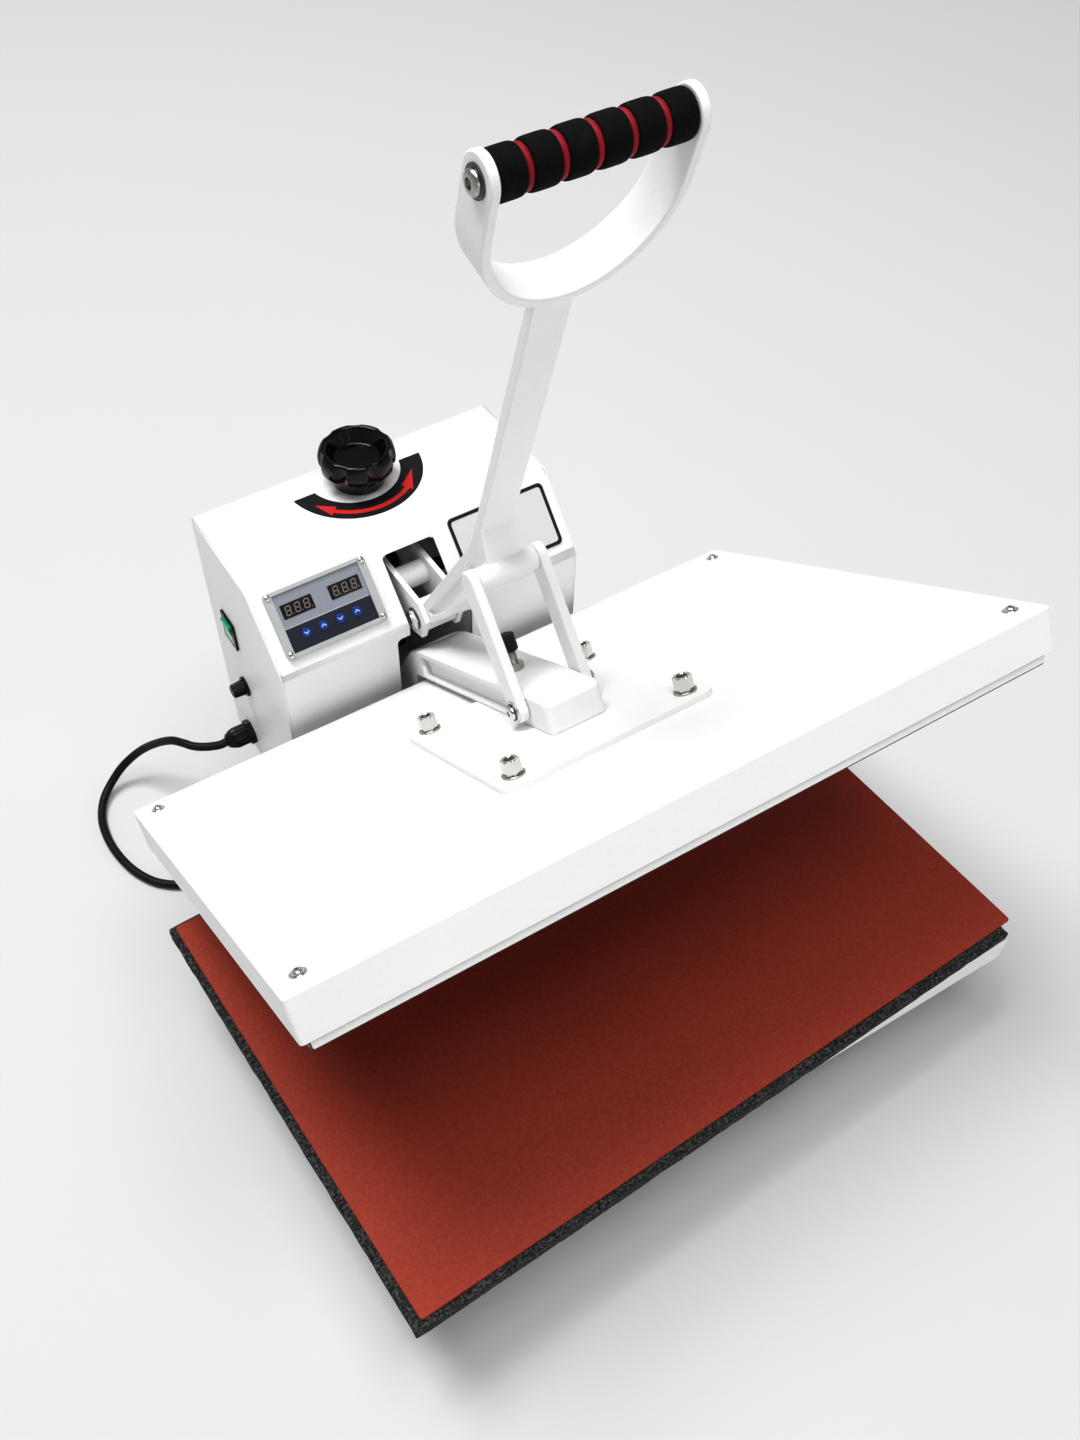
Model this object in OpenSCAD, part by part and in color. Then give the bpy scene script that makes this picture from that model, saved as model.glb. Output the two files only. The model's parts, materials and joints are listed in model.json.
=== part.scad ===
// Clamshell heat press with a toggle lever, drawn open.
// Millimetres, +Z up, front towards -Y, x = 0 is the middle of the machine.
// Origin on the bench, half way between the front and the back.

/* [Pads] */
// Width of the silicone sheet
pad_w = 600; // [560:5:610]
// Depth of the silicone sheet
pad_d = 400; // [370:5:410]
// Thickness of the silicone sheet
pad_t = 3; // [2:0.5:6]
// Width of the foam sheet
foam_w = 600; // [560:5:610]
// Depth of the foam sheet
foam_d = 414; // [380:2:420]
// Thickness of the foam sheet
foam_t = 9; // [6:0.5:14]
// How far the foam has slipped to the left
foam_slip = 8; // [0:1:12]
// Turn of both sheets on the platen, in degrees
pad_yaw = 2.75; // [0:0.25:4]

/* [Lower platen] */
// Width of the lower platen
base_w = 599; // [560:1:640]
// Sideways place of the lower platen
base_shift = 2; // [0:1:6]
// Depth of the lower platen
base_d = 392; // [360:2:400]
// Thickness of the platen plate
base_t = 6; // [5:0.5:10]
// Height of the skirt under the plate
base_skirt_h = 24; // [16:1:30]
// Thickness of the skirt and the ribs
base_skirt_t = 4; // [3:0.5:8]

/* [Frame] */
// Height of the rubber feet
foot_h = 18; // [12:1:30]
// Diameter of the rubber feet
foot_d = 38; // [28:1:40]
// Side of the square tubes
rail = 40; // [30:2:50]
// Wall of the square tubes
rail_wall = 3; // [2:0.5:4]
// Distance of the rails from the middle
rail_x = 80; // [75:1:90]
// Height of the posts under the lower platen
post_h = 44; // [36:1:60]

/* [Heat platen] */
// Edge of the top cover beyond the heat platen
cover_edge = 6; // [4:0.5:8]
// Height of the cover skirt
cover_h = 34; // [30:1:45]
// Sheet of the cover
cover_t = 1.5; // [1:0.25:2.5]
// Width of the heat platen
heat_w = 596; // [540:2:620]
// Depth of the heat platen
heat_d = 400; // [360:2:410]
// Thickness of the heat platen
heat_t = 14; // [12:1:18]
// How far the heat platen hangs below the skirt
heat_lip = 10; // [6:1:11]
// Gap between the heat platen and the pads when closed
close_gap = 0.5; // [0.3:0.1:3]

/* [Hinge] */
// Hinge axle behind the cover
hinge_back = 102; // [96:1:110]
// Hinge axle below the top of the pads
hinge_drop = 7; // [0:1:12]
// Opening angle of the arm
open_angle = 32; // [26:1:36]
// Diameter of the hinge axle
axle_d = 20; // [16:1:24]
// Diameter of the hub on the arm
hub_d = 46; // [42:1:48]

/* [Arm] */
// Width of the arm casting
arm_w = 49.2; // [46:0.2:50]
// Front of the arm behind the front of the cover
arm_front = 160; // [150:1:170]
// Top of the arm above the cover
arm_top = 32; // [30:1:36]
// Depth of the pocket in each side of the arm
arm_pocket = 6.5; // [2:0.5:8]
// Width of the mount plate
plate_w = 185; // [175:1:200]
// Depth of the mount plate
plate_d = 181; // [175:1:190]
// Thickness of the mount plate
plate_t = 5; // [4:0.5:6]
// Front of the mount plate behind the front of the cover
plate_front = 113; // [108:1:118]

/* [Toggle] */
// Link bolts behind the front of the cover
link_u = 198; // [192:1:204]
// Link bolts above the cover
link_w = 21; // [20:0.5:22]
// Length of the links between centres
link_l = 101.5; // [99:0.5:104]
// Breadth of the links
link_b = 20; // [18:0.5:22]
// Thickness of the links
link_t = 8; // [6:0.5:10]
// Lever pivot in front of the hinge axle
pivot_fwd = 45; // [42:1:48]
// Lever pivot above the hinge axle
pivot_up = 163; // [158:1:166]
// Length from the lever pivot to the cross bar
crank_l = 184.5; // [182:0.5:188]
// Diameter of the cross bar
bar_d = 18.5; // [16:0.5:20]

/* [Lever] */
// Width of the lever
lever_b = 28; // [24:0.5:30]
// Thickness of the lever bar
lever_t = 8.5; // [7:0.5:10]
// Length of the straight upright
upright_l = 268.5; // [220:0.5:300]
// Depth of the ribbed lower limb
limb_depth = 25; // [22:0.5:27]
// Half width of the handle strap, outside
strap_r = 66.5; // [60:0.5:80]
// Thickness of the handle strap
strap_t = 6; // [5:0.5:8]
// Width of the handle strap
strap_w = 29; // [24:1:34]
// Straight part of the strap below the grip
strap_side = 28.5; // [22:0.5:50]
// Diameter of the foam grip
grip_d = 26.8; // [25:0.2:34]

/* [Control box] */
// Width of the box
box_w = 300; // [290:2:330]
// Depth of the box
box_d = 163; // [160:1:180]
// Height of the box above the rails
box_h = 270; // [266:1:280]
// Front of the box ahead of the hinge axle
box_nose = 45; // [44:1:48]
// Depth of the sloped front
slope_d = 55; // [54:0.5:58]
// Height of the sloped front
slope_h = 56; // [55:0.5:58]
// Sheet of the box
sheet = 1.5; // [1:0.25:2]
// Width of the panel bezel
bezel_w = 95.5; // [92:0.5:98]
// Height of the panel bezel
bezel_h = 57.5; // [56:0.5:60]
// Diameter of the panel buttons
button_d = 8.7; // [7:0.1:9.5]
// Width of the plain plate on the right
plain_w = 99; // [85:1:102]

/* [Pressure set] */
// Diameter of the pressure knob
knob_d = 69; // [60:1:76]
// Height of the knob
knob_h = 35.5; // [30:0.5:40]
// Diameter of the pressure screw
screw_d = 12; // [10:1:14]
// Pitch of the pressure screw
screw_pitch = 1.75; // [1.25:0.25:2]
// Pressure screw ahead of the back of the box
screw_in = 32; // [30:1:36]

/* [Cord] */
// Diameter of the power cord
cord_d = 8.5; // [7:0.1:9]

/* [Hidden] */
$fn = 64;
// Width and depth of the top cover, from the heat platen under it
cover_w = heat_w + 2 * cover_edge;
cover_d = heat_d + 2 * cover_edge;
// Heights of the stack
rail_top = foot_h + rail;
base_top = rail_top + post_h + base_t;
pad_z = base_top + foam_t + pad_t;
cover_top = pad_z + close_gap + heat_lip + cover_h;
heat_low = -cover_h - heat_lip;
// Hinge axle, and its place behind and above the front top edge of the cover
hinge_y = cover_d / 2 + hinge_back;
hinge_z = pad_z - hinge_drop;
hinge_u = hinge_y + cover_d / 2;
hinge_w = hinge_z - cover_top;
// Box outline
box_y0 = hinge_y - box_nose;
box_y1 = box_y0 + box_d;
box_z0 = rail_top;
box_z1 = rail_top + box_h;
slope_y1 = box_y0 + slope_d;
slope_z0 = box_z1 - slope_h;
slope_a = atan2(slope_h, slope_d);
slope_l = norm([slope_h, slope_d]);
end_t = 2;
deck_t = 6;
deck_top = rail_top + deck_t;
slot_half = 25;
slope_out = [-sin(slope_a), cos(slope_a)];
slot_top = [slope_y1, box_z1] - 16 * [cos(slope_a), sin(slope_a)];
mouth_half = 38;
mouth_top = slope_z0 - 14;
mouth_low = rail_top + 37;
// Middle of the footprint
back_head = 2.2;
front_y = -(foam_d / 2 * cos(pad_yaw) + foam_w / 2 * sin(pad_yaw));
y_mid = (front_y + box_y1 + back_head) / 2;
// Toggle points: p0 lever pivot, p2 link bolt, p1 cross bar
p0 = [hinge_y - pivot_fwd, hinge_z + pivot_up];
r2 = [link_u - hinge_u, link_w - hinge_w];
function swung(r, a) = [r[0] * cos(a) + r[1] * sin(a), r[1] * cos(a) - r[0] * sin(a)];
function p2_at(a) = [hinge_y, hinge_z] + swung(r2, a);
function p1_at(a, side) = let (
    p2 = p2_at(a),
    d = norm(p2 - p0),
    e = (p2 - p0) / d,
    m = (crank_l * crank_l - link_l * link_l + d * d) / (2 * d),
    h = sqrt(crank_l * crank_l - m * m),
    up = [e[1], -e[0]]
  ) p0 + m * e + side * h * up;
function heading(v) = atan2(v[1], v[0]);
p2 = p2_at(open_angle);
p1 = p1_at(open_angle, 1);
crank_a = heading(p1 - p0);
link_a = heading(p1 - p2);
// Closed, the cross bar sits a little below the straight line from p0 to p2
p2_shut = p2_at(0);
p1_shut = p1_at(0, -1);
crank_turn = heading(p1_shut - p0) + 360 - crank_a;
link_turn = heading(p1_shut - p2_shut) - link_a - open_angle;
// Lever outline: limb and upright lean back from the line through the pivot and the cross bar
limb_a = 6.83;
upright_a = 23;
limb_set = 5.8;
bend_at = 172;
bend_r = 80;
bend_v = [bend_at, -limb_set - bend_at * tan(limb_a)];
mid_a = (limb_a + upright_a) / 2;
bend_c = bend_v - bend_r / cos((upright_a - limb_a) / 2) * [sin(mid_a), cos(mid_a)];
upright_end = bend_v + upright_l * [cos(upright_a), -sin(upright_a)];
lever_end = upright_end + lever_t * [sin(upright_a), cos(upright_a)];
limb_stop = crank_l + 4;
function limb_back(a) = -limb_set - a * tan(limb_a);
function limb_front(a) = limb_back(a) + limb_depth / cos(limb_a);
function front_at(a) = lever_end[1] + (lever_end[0] - a) * tan(upright_a);
// Strap and grip, measured along the upright from the lever end
strap_gap = strap_r - sqrt(strap_r * strap_r - lever_b * lever_b / 4);
grip_up = strap_side + strap_r;
grip_l = 2 * (strap_r - strap_t);
rod_d = 14;
// Yoke: shaft, trunnion and ears
ear_t = 5;
ear_x = lever_b / 2 + 0.3;
shaft_y = p0[0] + 45;
shaft_z = p0[1] + 4;
shaft_d = 12;
screw_y = box_y1 - screw_in;
trunnion_d = screw_d + 10;
cheek_x = 44;
cheek_t = 10;
// Rails and posts
rail_y0 = -base_d / 2 + 16;
rail_y1 = box_y1 - 6;
post_y = base_d / 2 - 70;
cross_y = base_d / 2 - 46;
cross_half = 190;
// Studs that hold the heat platen
stud_x = plate_w / 2 - 17.5;
stud_u = [plate_front + 17, plate_front + plate_d - 15];
element_d = 8;
bumper_u = arm_front + 91;
// Panel
panel_x = -(box_w / 2 - 12.5 - bezel_w / 2);
panel_y = slope_l - 8.8 - bezel_h / 2;
fascia_w = bezel_w - 14;
fascia_h = bezel_h - 6.5;
button_pitch = 16;
button_y = panel_y - fascia_h / 2 + 12.6;
plain_x = box_w / 2 - 10 - plain_w / 2;
plain_h = bezel_h + 0.7;
// Left end fittings: y and z
rocker_at = [box_y1 - 47, box_z1 - 97];
fuse_at = [box_y1 - 56, box_z1 - 165];
gland_at = [box_y1 - 41, rail_top + 24];
end_x = -box_w / 2;
gland_l = 28;
// Cord: coil in two layers beside the box, free stretch from the gland to it
coil_x = end_x - 56;
coil_y = box_y1 - 96;
coil_pitch = cord_d + 0.7;
coil_r = 44 + coil_pitch;
coil_a0 = 240;
coil_z = cord_d / 2 + 1.75;
coil_tail = 60;
loops = 4;
coil_in = [-sin(coil_a0), cos(coil_a0)];
coil_start = [coil_x, coil_y] + coil_r * [cos(coil_a0), sin(coil_a0)];
function coil_radius(t) = coil_r - coil_pitch * (t < 2 ? t : 4 - t);
function coil_lift(t) = coil_pitch * max(0, min(1, (t - 1.75) / 0.5));
function coil_turn(t) = [
    coil_x + coil_radius(t) * cos(coil_a0 + 360 * t),
    coil_y + coil_radius(t) * sin(coil_a0 + 360 * t),
    coil_z + coil_lift(t)];
coil_loops = [for (k = [0 : 24 * loops]) coil_turn(k / 24)];
tail_end = [coil_start[0], coil_start[1], coil_z + coil_pitch] + coil_tail * [coil_in[0], coil_in[1], 0];
coil_head = [coil_start[0], coil_start[1], coil_z] - cord_d * [coil_in[0], coil_in[1], 0];
coil_path = concat([coil_head], coil_loops, [tail_end]);
// Least gap between turns that are not neighbours along the tube
function gap_from(i) = min([for (j = [i + 12 : len(coil_loops) - 1]) norm(coil_loops[i] - coil_loops[j])]);
coil_gap = min([for (i = [0 : len(coil_loops) - 14]) gap_from(i)]) - cord_d;
// Free stretch, from the gland, as steps away from the gland end
gland_end = [end_x - gland_l, gland_at[0], gland_at[1]];
lie = cord_d / 2 + 0.2 - gland_at[1];
route = [
    [0, 0, 0], [-8, 0, 0], [-20.5, 4, 1], [-31, 11, 1.5], [-38.5, 20.5, 1.5], [-46.5, 33.5, -3],
    [-59, 51.5, -18.5], [-74, 69, -39.5], [-93, 75.5, -57], [-109.5, 72, -68.5], [-125, 60.5, lie + 2.5],
    [-135.5, 42, lie + 0.2], [-140, 21, lie], [-140.5, -1, lie], [-137.5, -22.5, lie], [-132, -41, lie],
    [-123.5, -57.5, lie], [-114, -68.5, lie], [-99.5, -79, lie + 0.4]];
lead_in = coil_head - 10 * [coil_in[0], coil_in[1], 0];
cord_path = concat([for (p = route) gland_end + p], [lead_in, coil_head]);
plug_l = 46;
plug_h = 2 * (coil_z + coil_pitch - 1.2);

echo(y_mid = y_mid, hinge = [hinge_y - y_mid, hinge_z], p0 = [p0[0] - y_mid, p0[1]]);
echo(p1 = [p1[0] - y_mid, p1[1]], p2 = [p2[0] - y_mid, p2[1]], p1_shut = [p1_shut[0] - y_mid, p1_shut[1]]);
echo(crank_turn = crank_turn, link_turn = link_turn, coil_gap = coil_gap);
echo(shaft = [shaft_y - y_mid, shaft_z], screw = screw_y - y_mid);

// Helpers
module place() translate([0, -y_mid, 0]) children();
module on_platen() translate([0, hinge_y, hinge_z]) rotate([-open_angle, 0, 0]) translate([0, -hinge_u, -hinge_w]) children();
module on_lever() translate([0, p0[0], p0[1]]) rotate([crank_a, 0, 0]) children();
module on_grip() on_lever() translate([0, upright_end[0], upright_end[1]]) rotate([-upright_a, 0, 0]) translate([0, grip_up - strap_gap, lever_t / 2]) children();
module on_links() translate([0, p2[0], p2[1]]) rotate([link_a, 0, 0]) children();
module on_slope() translate([0, box_y0, slope_z0]) rotate([slope_a, 0, 0]) children();
module yz(w) rotate([90, 0, 90]) linear_extrude(height = w, center = true) children();
module x_rod(d, l) rotate([0, 90, 0]) cylinder(d = d, h = l, center = true);
module pair() {
  children();
  mirror([1, 0, 0]) children();
}
module rounded(w, d, r) {
  square([w - 2 * r, d], center = true);
  square([w, d - 2 * r], center = true);
  for (i = [-1, 1], j = [-1, 1]) translate([i * (w / 2 - r), j * (d / 2 - r)]) circle(r);
}
module hex(flats, h) cylinder(d = flats / cos(30), h = h, $fn = 6);
function unit(v) = v / norm(v);
function heading3(p, i) = unit(p[min(i + 1, len(p) - 1)] - p[max(i - 1, 0)]);
function ring3(p, i, r, n) = let (
    t = heading3(p, i),
    s = unit(cross(t, [0, 0, 1])),
    q = cross(s, t)
  ) [for (k = [0 : n - 1]) p[i] + r * (cos(360 * k / n) * s + sin(360 * k / n) * q)];
module tube_along(p, r, n) {
  last = len(p) - 1;
  points = [for (i = [0 : last]) each ring3(p, i, r, n)];
  sides = [for (i = [0 : last - 1], k = [0 : n - 1])
      [i * n + k, i * n + (k + 1) % n, (i + 1) * n + (k + 1) % n, (i + 1) * n + k]];
  ends = [[for (k = [n - 1 : -1 : 0]) k], [for (k = [0 : n - 1]) last * n + k]];
  polyhedron(points, concat(sides, ends));
}

// Standing part
module base_frame() color("gainsboro") place() difference() {
  union() {
    for (s = [-1, 1]) {
      translate([s * rail_x - rail / 2, rail_y0, foot_h]) cube([rail, rail_y1 - rail_y0, rail]);
      for (j = [-1, 1]) translate([s * rail_x - rail / 2, j * post_y - rail / 2, rail_top - 1]) cube([rail, rail, post_h + 1]);
    }
    for (j = [-1, 1]) translate([-cross_half, j * cross_y - rail / 2, foot_h]) cube([2 * cross_half, rail, rail]);
  }
  // closed tubes: the hollows stop short of the ends
  for (s = [-1, 1]) translate([s * rail_x - rail / 2 + rail_wall, rail_y0 + rail_wall, foot_h + rail_wall])
    cube([rail - 2 * rail_wall, rail_y1 - rail_y0 - 2 * rail_wall, rail - 2 * rail_wall]);
  for (j = [-1, 1]) translate([-cross_half + rail_wall, j * cross_y - rail / 2 + rail_wall, foot_h + rail_wall])
    cube([2 * cross_half - 2 * rail_wall, rail - 2 * rail_wall, rail - 2 * rail_wall]);
}
module rubber_feet() color("dimgray") place() {
  for (s = [-1, 1]) {
    translate([s * (cross_half - rail / 2), -cross_y, 0]) cylinder(d1 = foot_d - 6, d2 = foot_d, h = foot_h);
    translate([s * rail_x, rail_y1 - 24, 0]) cylinder(d1 = foot_d - 6, d2 = foot_d, h = foot_h);
  }
}
module deck_plate() color("gainsboro") place() translate([-box_w / 2 + end_t + 0.3, box_y0 + sheet + 0.3, rail_top])
  cube([box_w - 2 * end_t - 0.6, box_d - 2 * sheet - 0.6, deck_t]);
module hinge_cheeks() color("gainsboro") place() pair() translate([cheek_x + cheek_t / 2, 0, 0]) yz(cheek_t) difference() {
  polygon([[box_y0 + 15, deck_top], [box_y1 - 8, deck_top], [box_y1 - 8, box_z1 - 14], [slope_y1 - 4, box_z1 - 14],
    [box_y0 + 22, slope_z0 + 10], [box_y0 + 15, slope_z0 - 8]]);
  translate([hinge_y, hinge_z]) circle(d = axle_d + 0.1);
  translate([shaft_y, shaft_z]) circle(d = shaft_d + 0.1);
}
module lower_platen() color("whitesmoke") place() translate([base_shift, 0, 0]) {
  low = base_top - base_t - base_skirt_h;
  difference() {
    translate([-base_w / 2, -base_d / 2, low]) cube([base_w, base_d, base_t + base_skirt_h]);
    translate([-base_w / 2 + base_skirt_t, -base_d / 2 + base_skirt_t, low - 1])
      cube([base_w - 2 * base_skirt_t, base_d - 2 * base_skirt_t, base_skirt_h + 1]);
  }
  for (s = [-1, 1]) translate([s * 190 - base_skirt_t / 2, -base_d / 2 + 1, low]) cube([base_skirt_t, base_d - 2, base_skirt_h + 1]);
}
module foam_pad() color("black") place() translate([-foam_slip, 0, base_top]) rotate(pad_yaw)
  linear_extrude(height = foam_t) rounded(foam_w, foam_d, 1.6);
module silicone_pad() color("firebrick") place() translate([0, 0, base_top + foam_t]) rotate(pad_yaw)
  linear_extrude(height = pad_t) rounded(pad_w, pad_d, 2.5);
module hinge_axle() color("silver") place() translate([0, hinge_y, hinge_z]) {
  x_rod(axle_d, 2 * (cheek_x + cheek_t + 8));
  pair() translate([cheek_x + cheek_t + 1.6, 0, 0]) x_rod(axle_d + 8, 3);
}
module torsion_springs() color("slategray") place() pair() translate([(arm_w / 2 + cheek_x) / 2, hinge_y, hinge_z]) difference() {
  x_rod(axle_d + 14, cheek_x - arm_w / 2 - 1);
  x_rod(axle_d + 1, cheek_x);
  for (k = [-1, 0, 1]) translate([k * 5, 0, 0]) difference() {
    x_rod(axle_d + 20, 1.2);
    x_rod(axle_d + 9, 2);
  }
}

// Control box
module box_outline() polygon([[box_y0, box_z0], [box_y0, slope_z0], [slope_y1, box_z1], [box_y1, box_z1], [box_y1, box_z0]]);
module box_cavity() polygon([
  [box_y0 + sheet, box_z0 - 1],
  [box_y0 + sheet, slope_z0 + sheet * tan(slope_a) - sheet / cos(slope_a)],
  [box_y0 + (slope_h - sheet + sheet / cos(slope_a)) / tan(slope_a), box_z1 - sheet],
  [box_y1 + 1, box_z1 - sheet],
  [box_y1 + 1, box_z0 - 1]]);
module box_shell() color("white") place() difference() {
  yz(box_w - 2 * end_t) intersection() {
    difference() { box_outline(); box_cavity(); }
    translate([box_y0 - 1, box_z0 - 1]) square([box_d + 1 - sheet, box_h + 2]);
  }
  // slot for the yoke and mouth for the arm
  yz(2 * slot_half) polygon([slot_top + 12 * slope_out, slot_top - 12 * slope_out, [box_y0 + 30, mouth_top - 30], [box_y0 - 12, mouth_top - 30],
    [box_y0 - 12, slope_z0 + 8]]);
  translate([0, box_y0 + 5, (mouth_top + mouth_low) / 2]) rotate([90, 0, 0]) linear_extrude(height = 20) rounded(2 * mouth_half, mouth_top - mouth_low, 5);
  // opening behind the fascia, bezel screws and pressure screw
  on_slope() translate([panel_x, panel_y, -5]) linear_extrude(height = 10) square([fascia_w - 5, fascia_h - 5], center = true);
  on_slope() panel_corners() translate([0, 0, -5]) cylinder(d = 2.7, h = 10);
  translate([0, screw_y, box_z1 - 5]) cylinder(d = screw_d + 3, h = 10);
}
module panel_corners() for (i = [-1, 1], j = [-1, 1])
  translate([panel_x + i * (bezel_w / 2 - 3.5), panel_y + j * (bezel_h / 2 - 3.2), 0]) children();
module box_end() yz(end_t) box_outline();
module box_end_left() color("white") place() difference() {
  translate([end_x + end_t / 2, 0, 0]) box_end();
  translate([end_x, rocker_at[0], rocker_at[1]]) cube([10, 22, 28], center = true);
  translate([end_x, fuse_at[0], fuse_at[1]]) x_rod(13, 10);
  translate([end_x, gland_at[0], gland_at[1]]) x_rod(18.4, 10);
}
module box_end_right() color("white") place() translate([box_w / 2 - end_t / 2, 0, 0]) box_end();
module back_screws() for (s = [-1, 1], z = [box_z0 + 24, (box_z0 + box_z1) / 2, box_z1 - 20])
  translate([s * (box_w / 2 - 12), box_y1, z]) rotate([-90, 0, 0]) children();
module box_back() color("white") place() difference() {
  translate([-box_w / 2 + end_t, box_y1 - sheet, box_z0]) cube([box_w - 2 * end_t, sheet, box_h]);
  back_screws() translate([0, 0, -5]) cylinder(d = 4.3, h = 10);
}
module box_screws() color("silver") place() back_screws() {
  cylinder(d1 = 8, d2 = 6, h = back_head);
  translate([0, 0, -7]) cylinder(d = 4, h = 7.5);
}
module panel_bezel() color("silver") place() on_slope() difference() {
  translate([panel_x, panel_y, 0]) linear_extrude(height = 4) difference() {
    rounded(bezel_w, bezel_h, 3);
    square([fascia_w, fascia_h], center = true);
  }
  panel_corners() translate([0, 0, -1]) cylinder(d = 2.7, h = 6);
}
module panel_screws() color("silver") place() on_slope() panel_corners() {
  translate([0, 0, 4]) cylinder(d1 = 5, d2 = 3.6, h = 1.8);
  translate([0, 0, -6]) cylinder(d = 2.5, h = 10.5);
}
module at_button(k) on_slope() translate([panel_x + (k - 1.5) * button_pitch + 0.3, button_y, 0]) children();
module panel_fascia() color("lightsteelblue") place() difference() {
  on_slope() translate([panel_x, panel_y, 0]) linear_extrude(height = 2.2) square([fascia_w - 0.2, fascia_h - 0.2], center = true);
  for (k = [0 : 3]) at_button(k) translate([0, 0, -1]) cylinder(d = button_d + 0.4, h = 6);
}
module display_windows() color("black") place() on_slope() for (i = [-1, 1])
  translate([panel_x + i * (fascia_w / 2 - 18.3), panel_y + fascia_h / 2 - 15.8, 2.2]) linear_extrude(height = 0.5) square([29.4, 12.4], center = true);
module panel_button(k) color("royalblue") place() at_button(k) translate([0, 0, -3]) cylinder(d = button_d, h = 6.2);
module temp_down_button() panel_button(0);
module temp_up_button() panel_button(1);
module time_down_button() panel_button(2);
module time_up_button() panel_button(3);
// The board ends just short of the hinge cheek
board_gap = 1;
board_w = 2 * (-panel_x - cheek_x - cheek_t - board_gap);
module controller_board() color("darkgreen") place() on_slope() {
  translate([panel_x, panel_y, -14]) linear_extrude(height = 1.6) square([board_w, fascia_h + 4], center = true);
  for (i = [-1, 1], j = [-1, 1]) translate([panel_x + i * (board_w / 2 - 2), panel_y + j * fascia_h / 2, -12.4]) cylinder(d = 4, h = 12.4 - sheet, $fn = 6);
  translate([panel_x - 12, panel_y + 8, -12.4]) cube([24, 12, 7]);
}
module plain_plate() color("gray") place() on_slope() translate([plain_x, panel_y, 0]) linear_extrude(height = 0.8) rounded(plain_w, plain_h, 5);
scale_out = 64;
scale_in = 43.5;
scale_back = 13.5;
module pressure_scale() color("black") place() translate([0, screw_y + scale_back, box_z1]) linear_extrude(height = 0.5) difference() {
  circle(scale_out);
  circle(scale_in);
  translate([-2 * scale_out, -0.7 * scale_back]) square([4 * scale_out, 2 * scale_out]);
}
module at_rocker() translate([end_x, rocker_at[0], rocker_at[1]]) children();
rocker_pin = 2.9;
module switch_housing() color("black") place() at_rocker() {
  difference() {
    union() {
      translate([-1.2, 0, 0]) cube([2.4, 26, 31], center = true);
      translate([12, 0, 0]) cube([24, 21.6, 27.6], center = true);
    }
    cube([16, 17, 25.6], center = true);
  }
  translate([1, 0, 0]) rotate([90, 0, 0]) cylinder(d = rocker_pin, h = 18, center = true);
}
module power_rocker() color("green") place() at_rocker() translate([1, 0, 0]) rotate([0, -8, 0]) rotate([90, 0, 0]) difference() {
  linear_extrude(height = 16.4, center = true) polygon([[3, -10], [-5, -11.2], [-3.8, 0], [-5, 11.2], [3, 10]]);
  cylinder(d = rocker_pin + 0.1, h = 30, center = true);
}
module fuse_holder() color("black") place() translate([end_x, fuse_at[0], fuse_at[1]]) {
  translate([-1.5, 0, 0]) x_rod(20, 3);
  translate([14, 0, 0]) x_rod(12.4, 28);
  translate([-9, 0, 0]) rotate([0, 90, 0]) cylinder(d1 = 13, d2 = 15, h = 12, center = true);
}
module cable_gland() color("black") place() translate([end_x, gland_at[0], gland_at[1]]) {
  translate([-3, 0, 0]) rotate([0, 90, 0]) cylinder(d = 26, h = 6, center = true, $fn = 6);
  translate([7, 0, 0]) x_rod(18, 14);
}
module gland_nut() color("black") place() translate([end_x - 6, gland_at[0], gland_at[1]]) {
  translate([-7, 0, 0]) x_rod(22, 14);
  translate([-14 - (gland_l - 20) / 2, 0, 0]) rotate([0, 90, 0]) cylinder(d1 = 14, d2 = 22, h = gland_l - 20, center = true);
}

// Cord
module power_cord() color("black") place() tube_along(cord_path, cord_d / 2, 10);
module cord_coil() color("black") place() tube_along(coil_path, cord_d / 2, 6);
module cord_tie() color("dimgray") place() translate([coil_x, coil_y, 0]) rotate(20) {
  r_in = coil_r - 2 * coil_pitch - cord_d / 2 - 0.9;
  r_out = coil_r + cord_d / 2 + 0.5;
  z_in = coil_z - cord_d / 2 - 0.3;
  z_out = coil_z + coil_pitch + cord_d / 2 + 0.3;
  difference() {
    translate([r_in - 1.2, -5, z_in - 1.2]) cube([r_out - r_in + 2.4, 10, z_out - z_in + 2.4]);
    translate([r_in, -6, z_in]) cube([r_out - r_in, 12, z_out - z_in]);
  }
}
module at_plug() translate(tail_end) rotate(heading(coil_in)) children();
module power_plug() color("black") place() at_plug() {
  rotate([0, 90, 0]) cylinder(d1 = 14, d2 = 20, h = 14);
  translate([13, -13, -plug_h / 2]) cube([plug_l - 13, 26, plug_h]);
}
module plug_pins() color("gold") place() at_plug() translate([plug_l, 0, 0]) {
  for (s = [-1, 1]) translate([0, s * 6.35 - 0.75, -1]) cube([16, 1.5, 6.3]);
  translate([0, 0, -8]) rotate([0, 90, 0]) cylinder(d = 4.8, h = 18);
}

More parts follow.
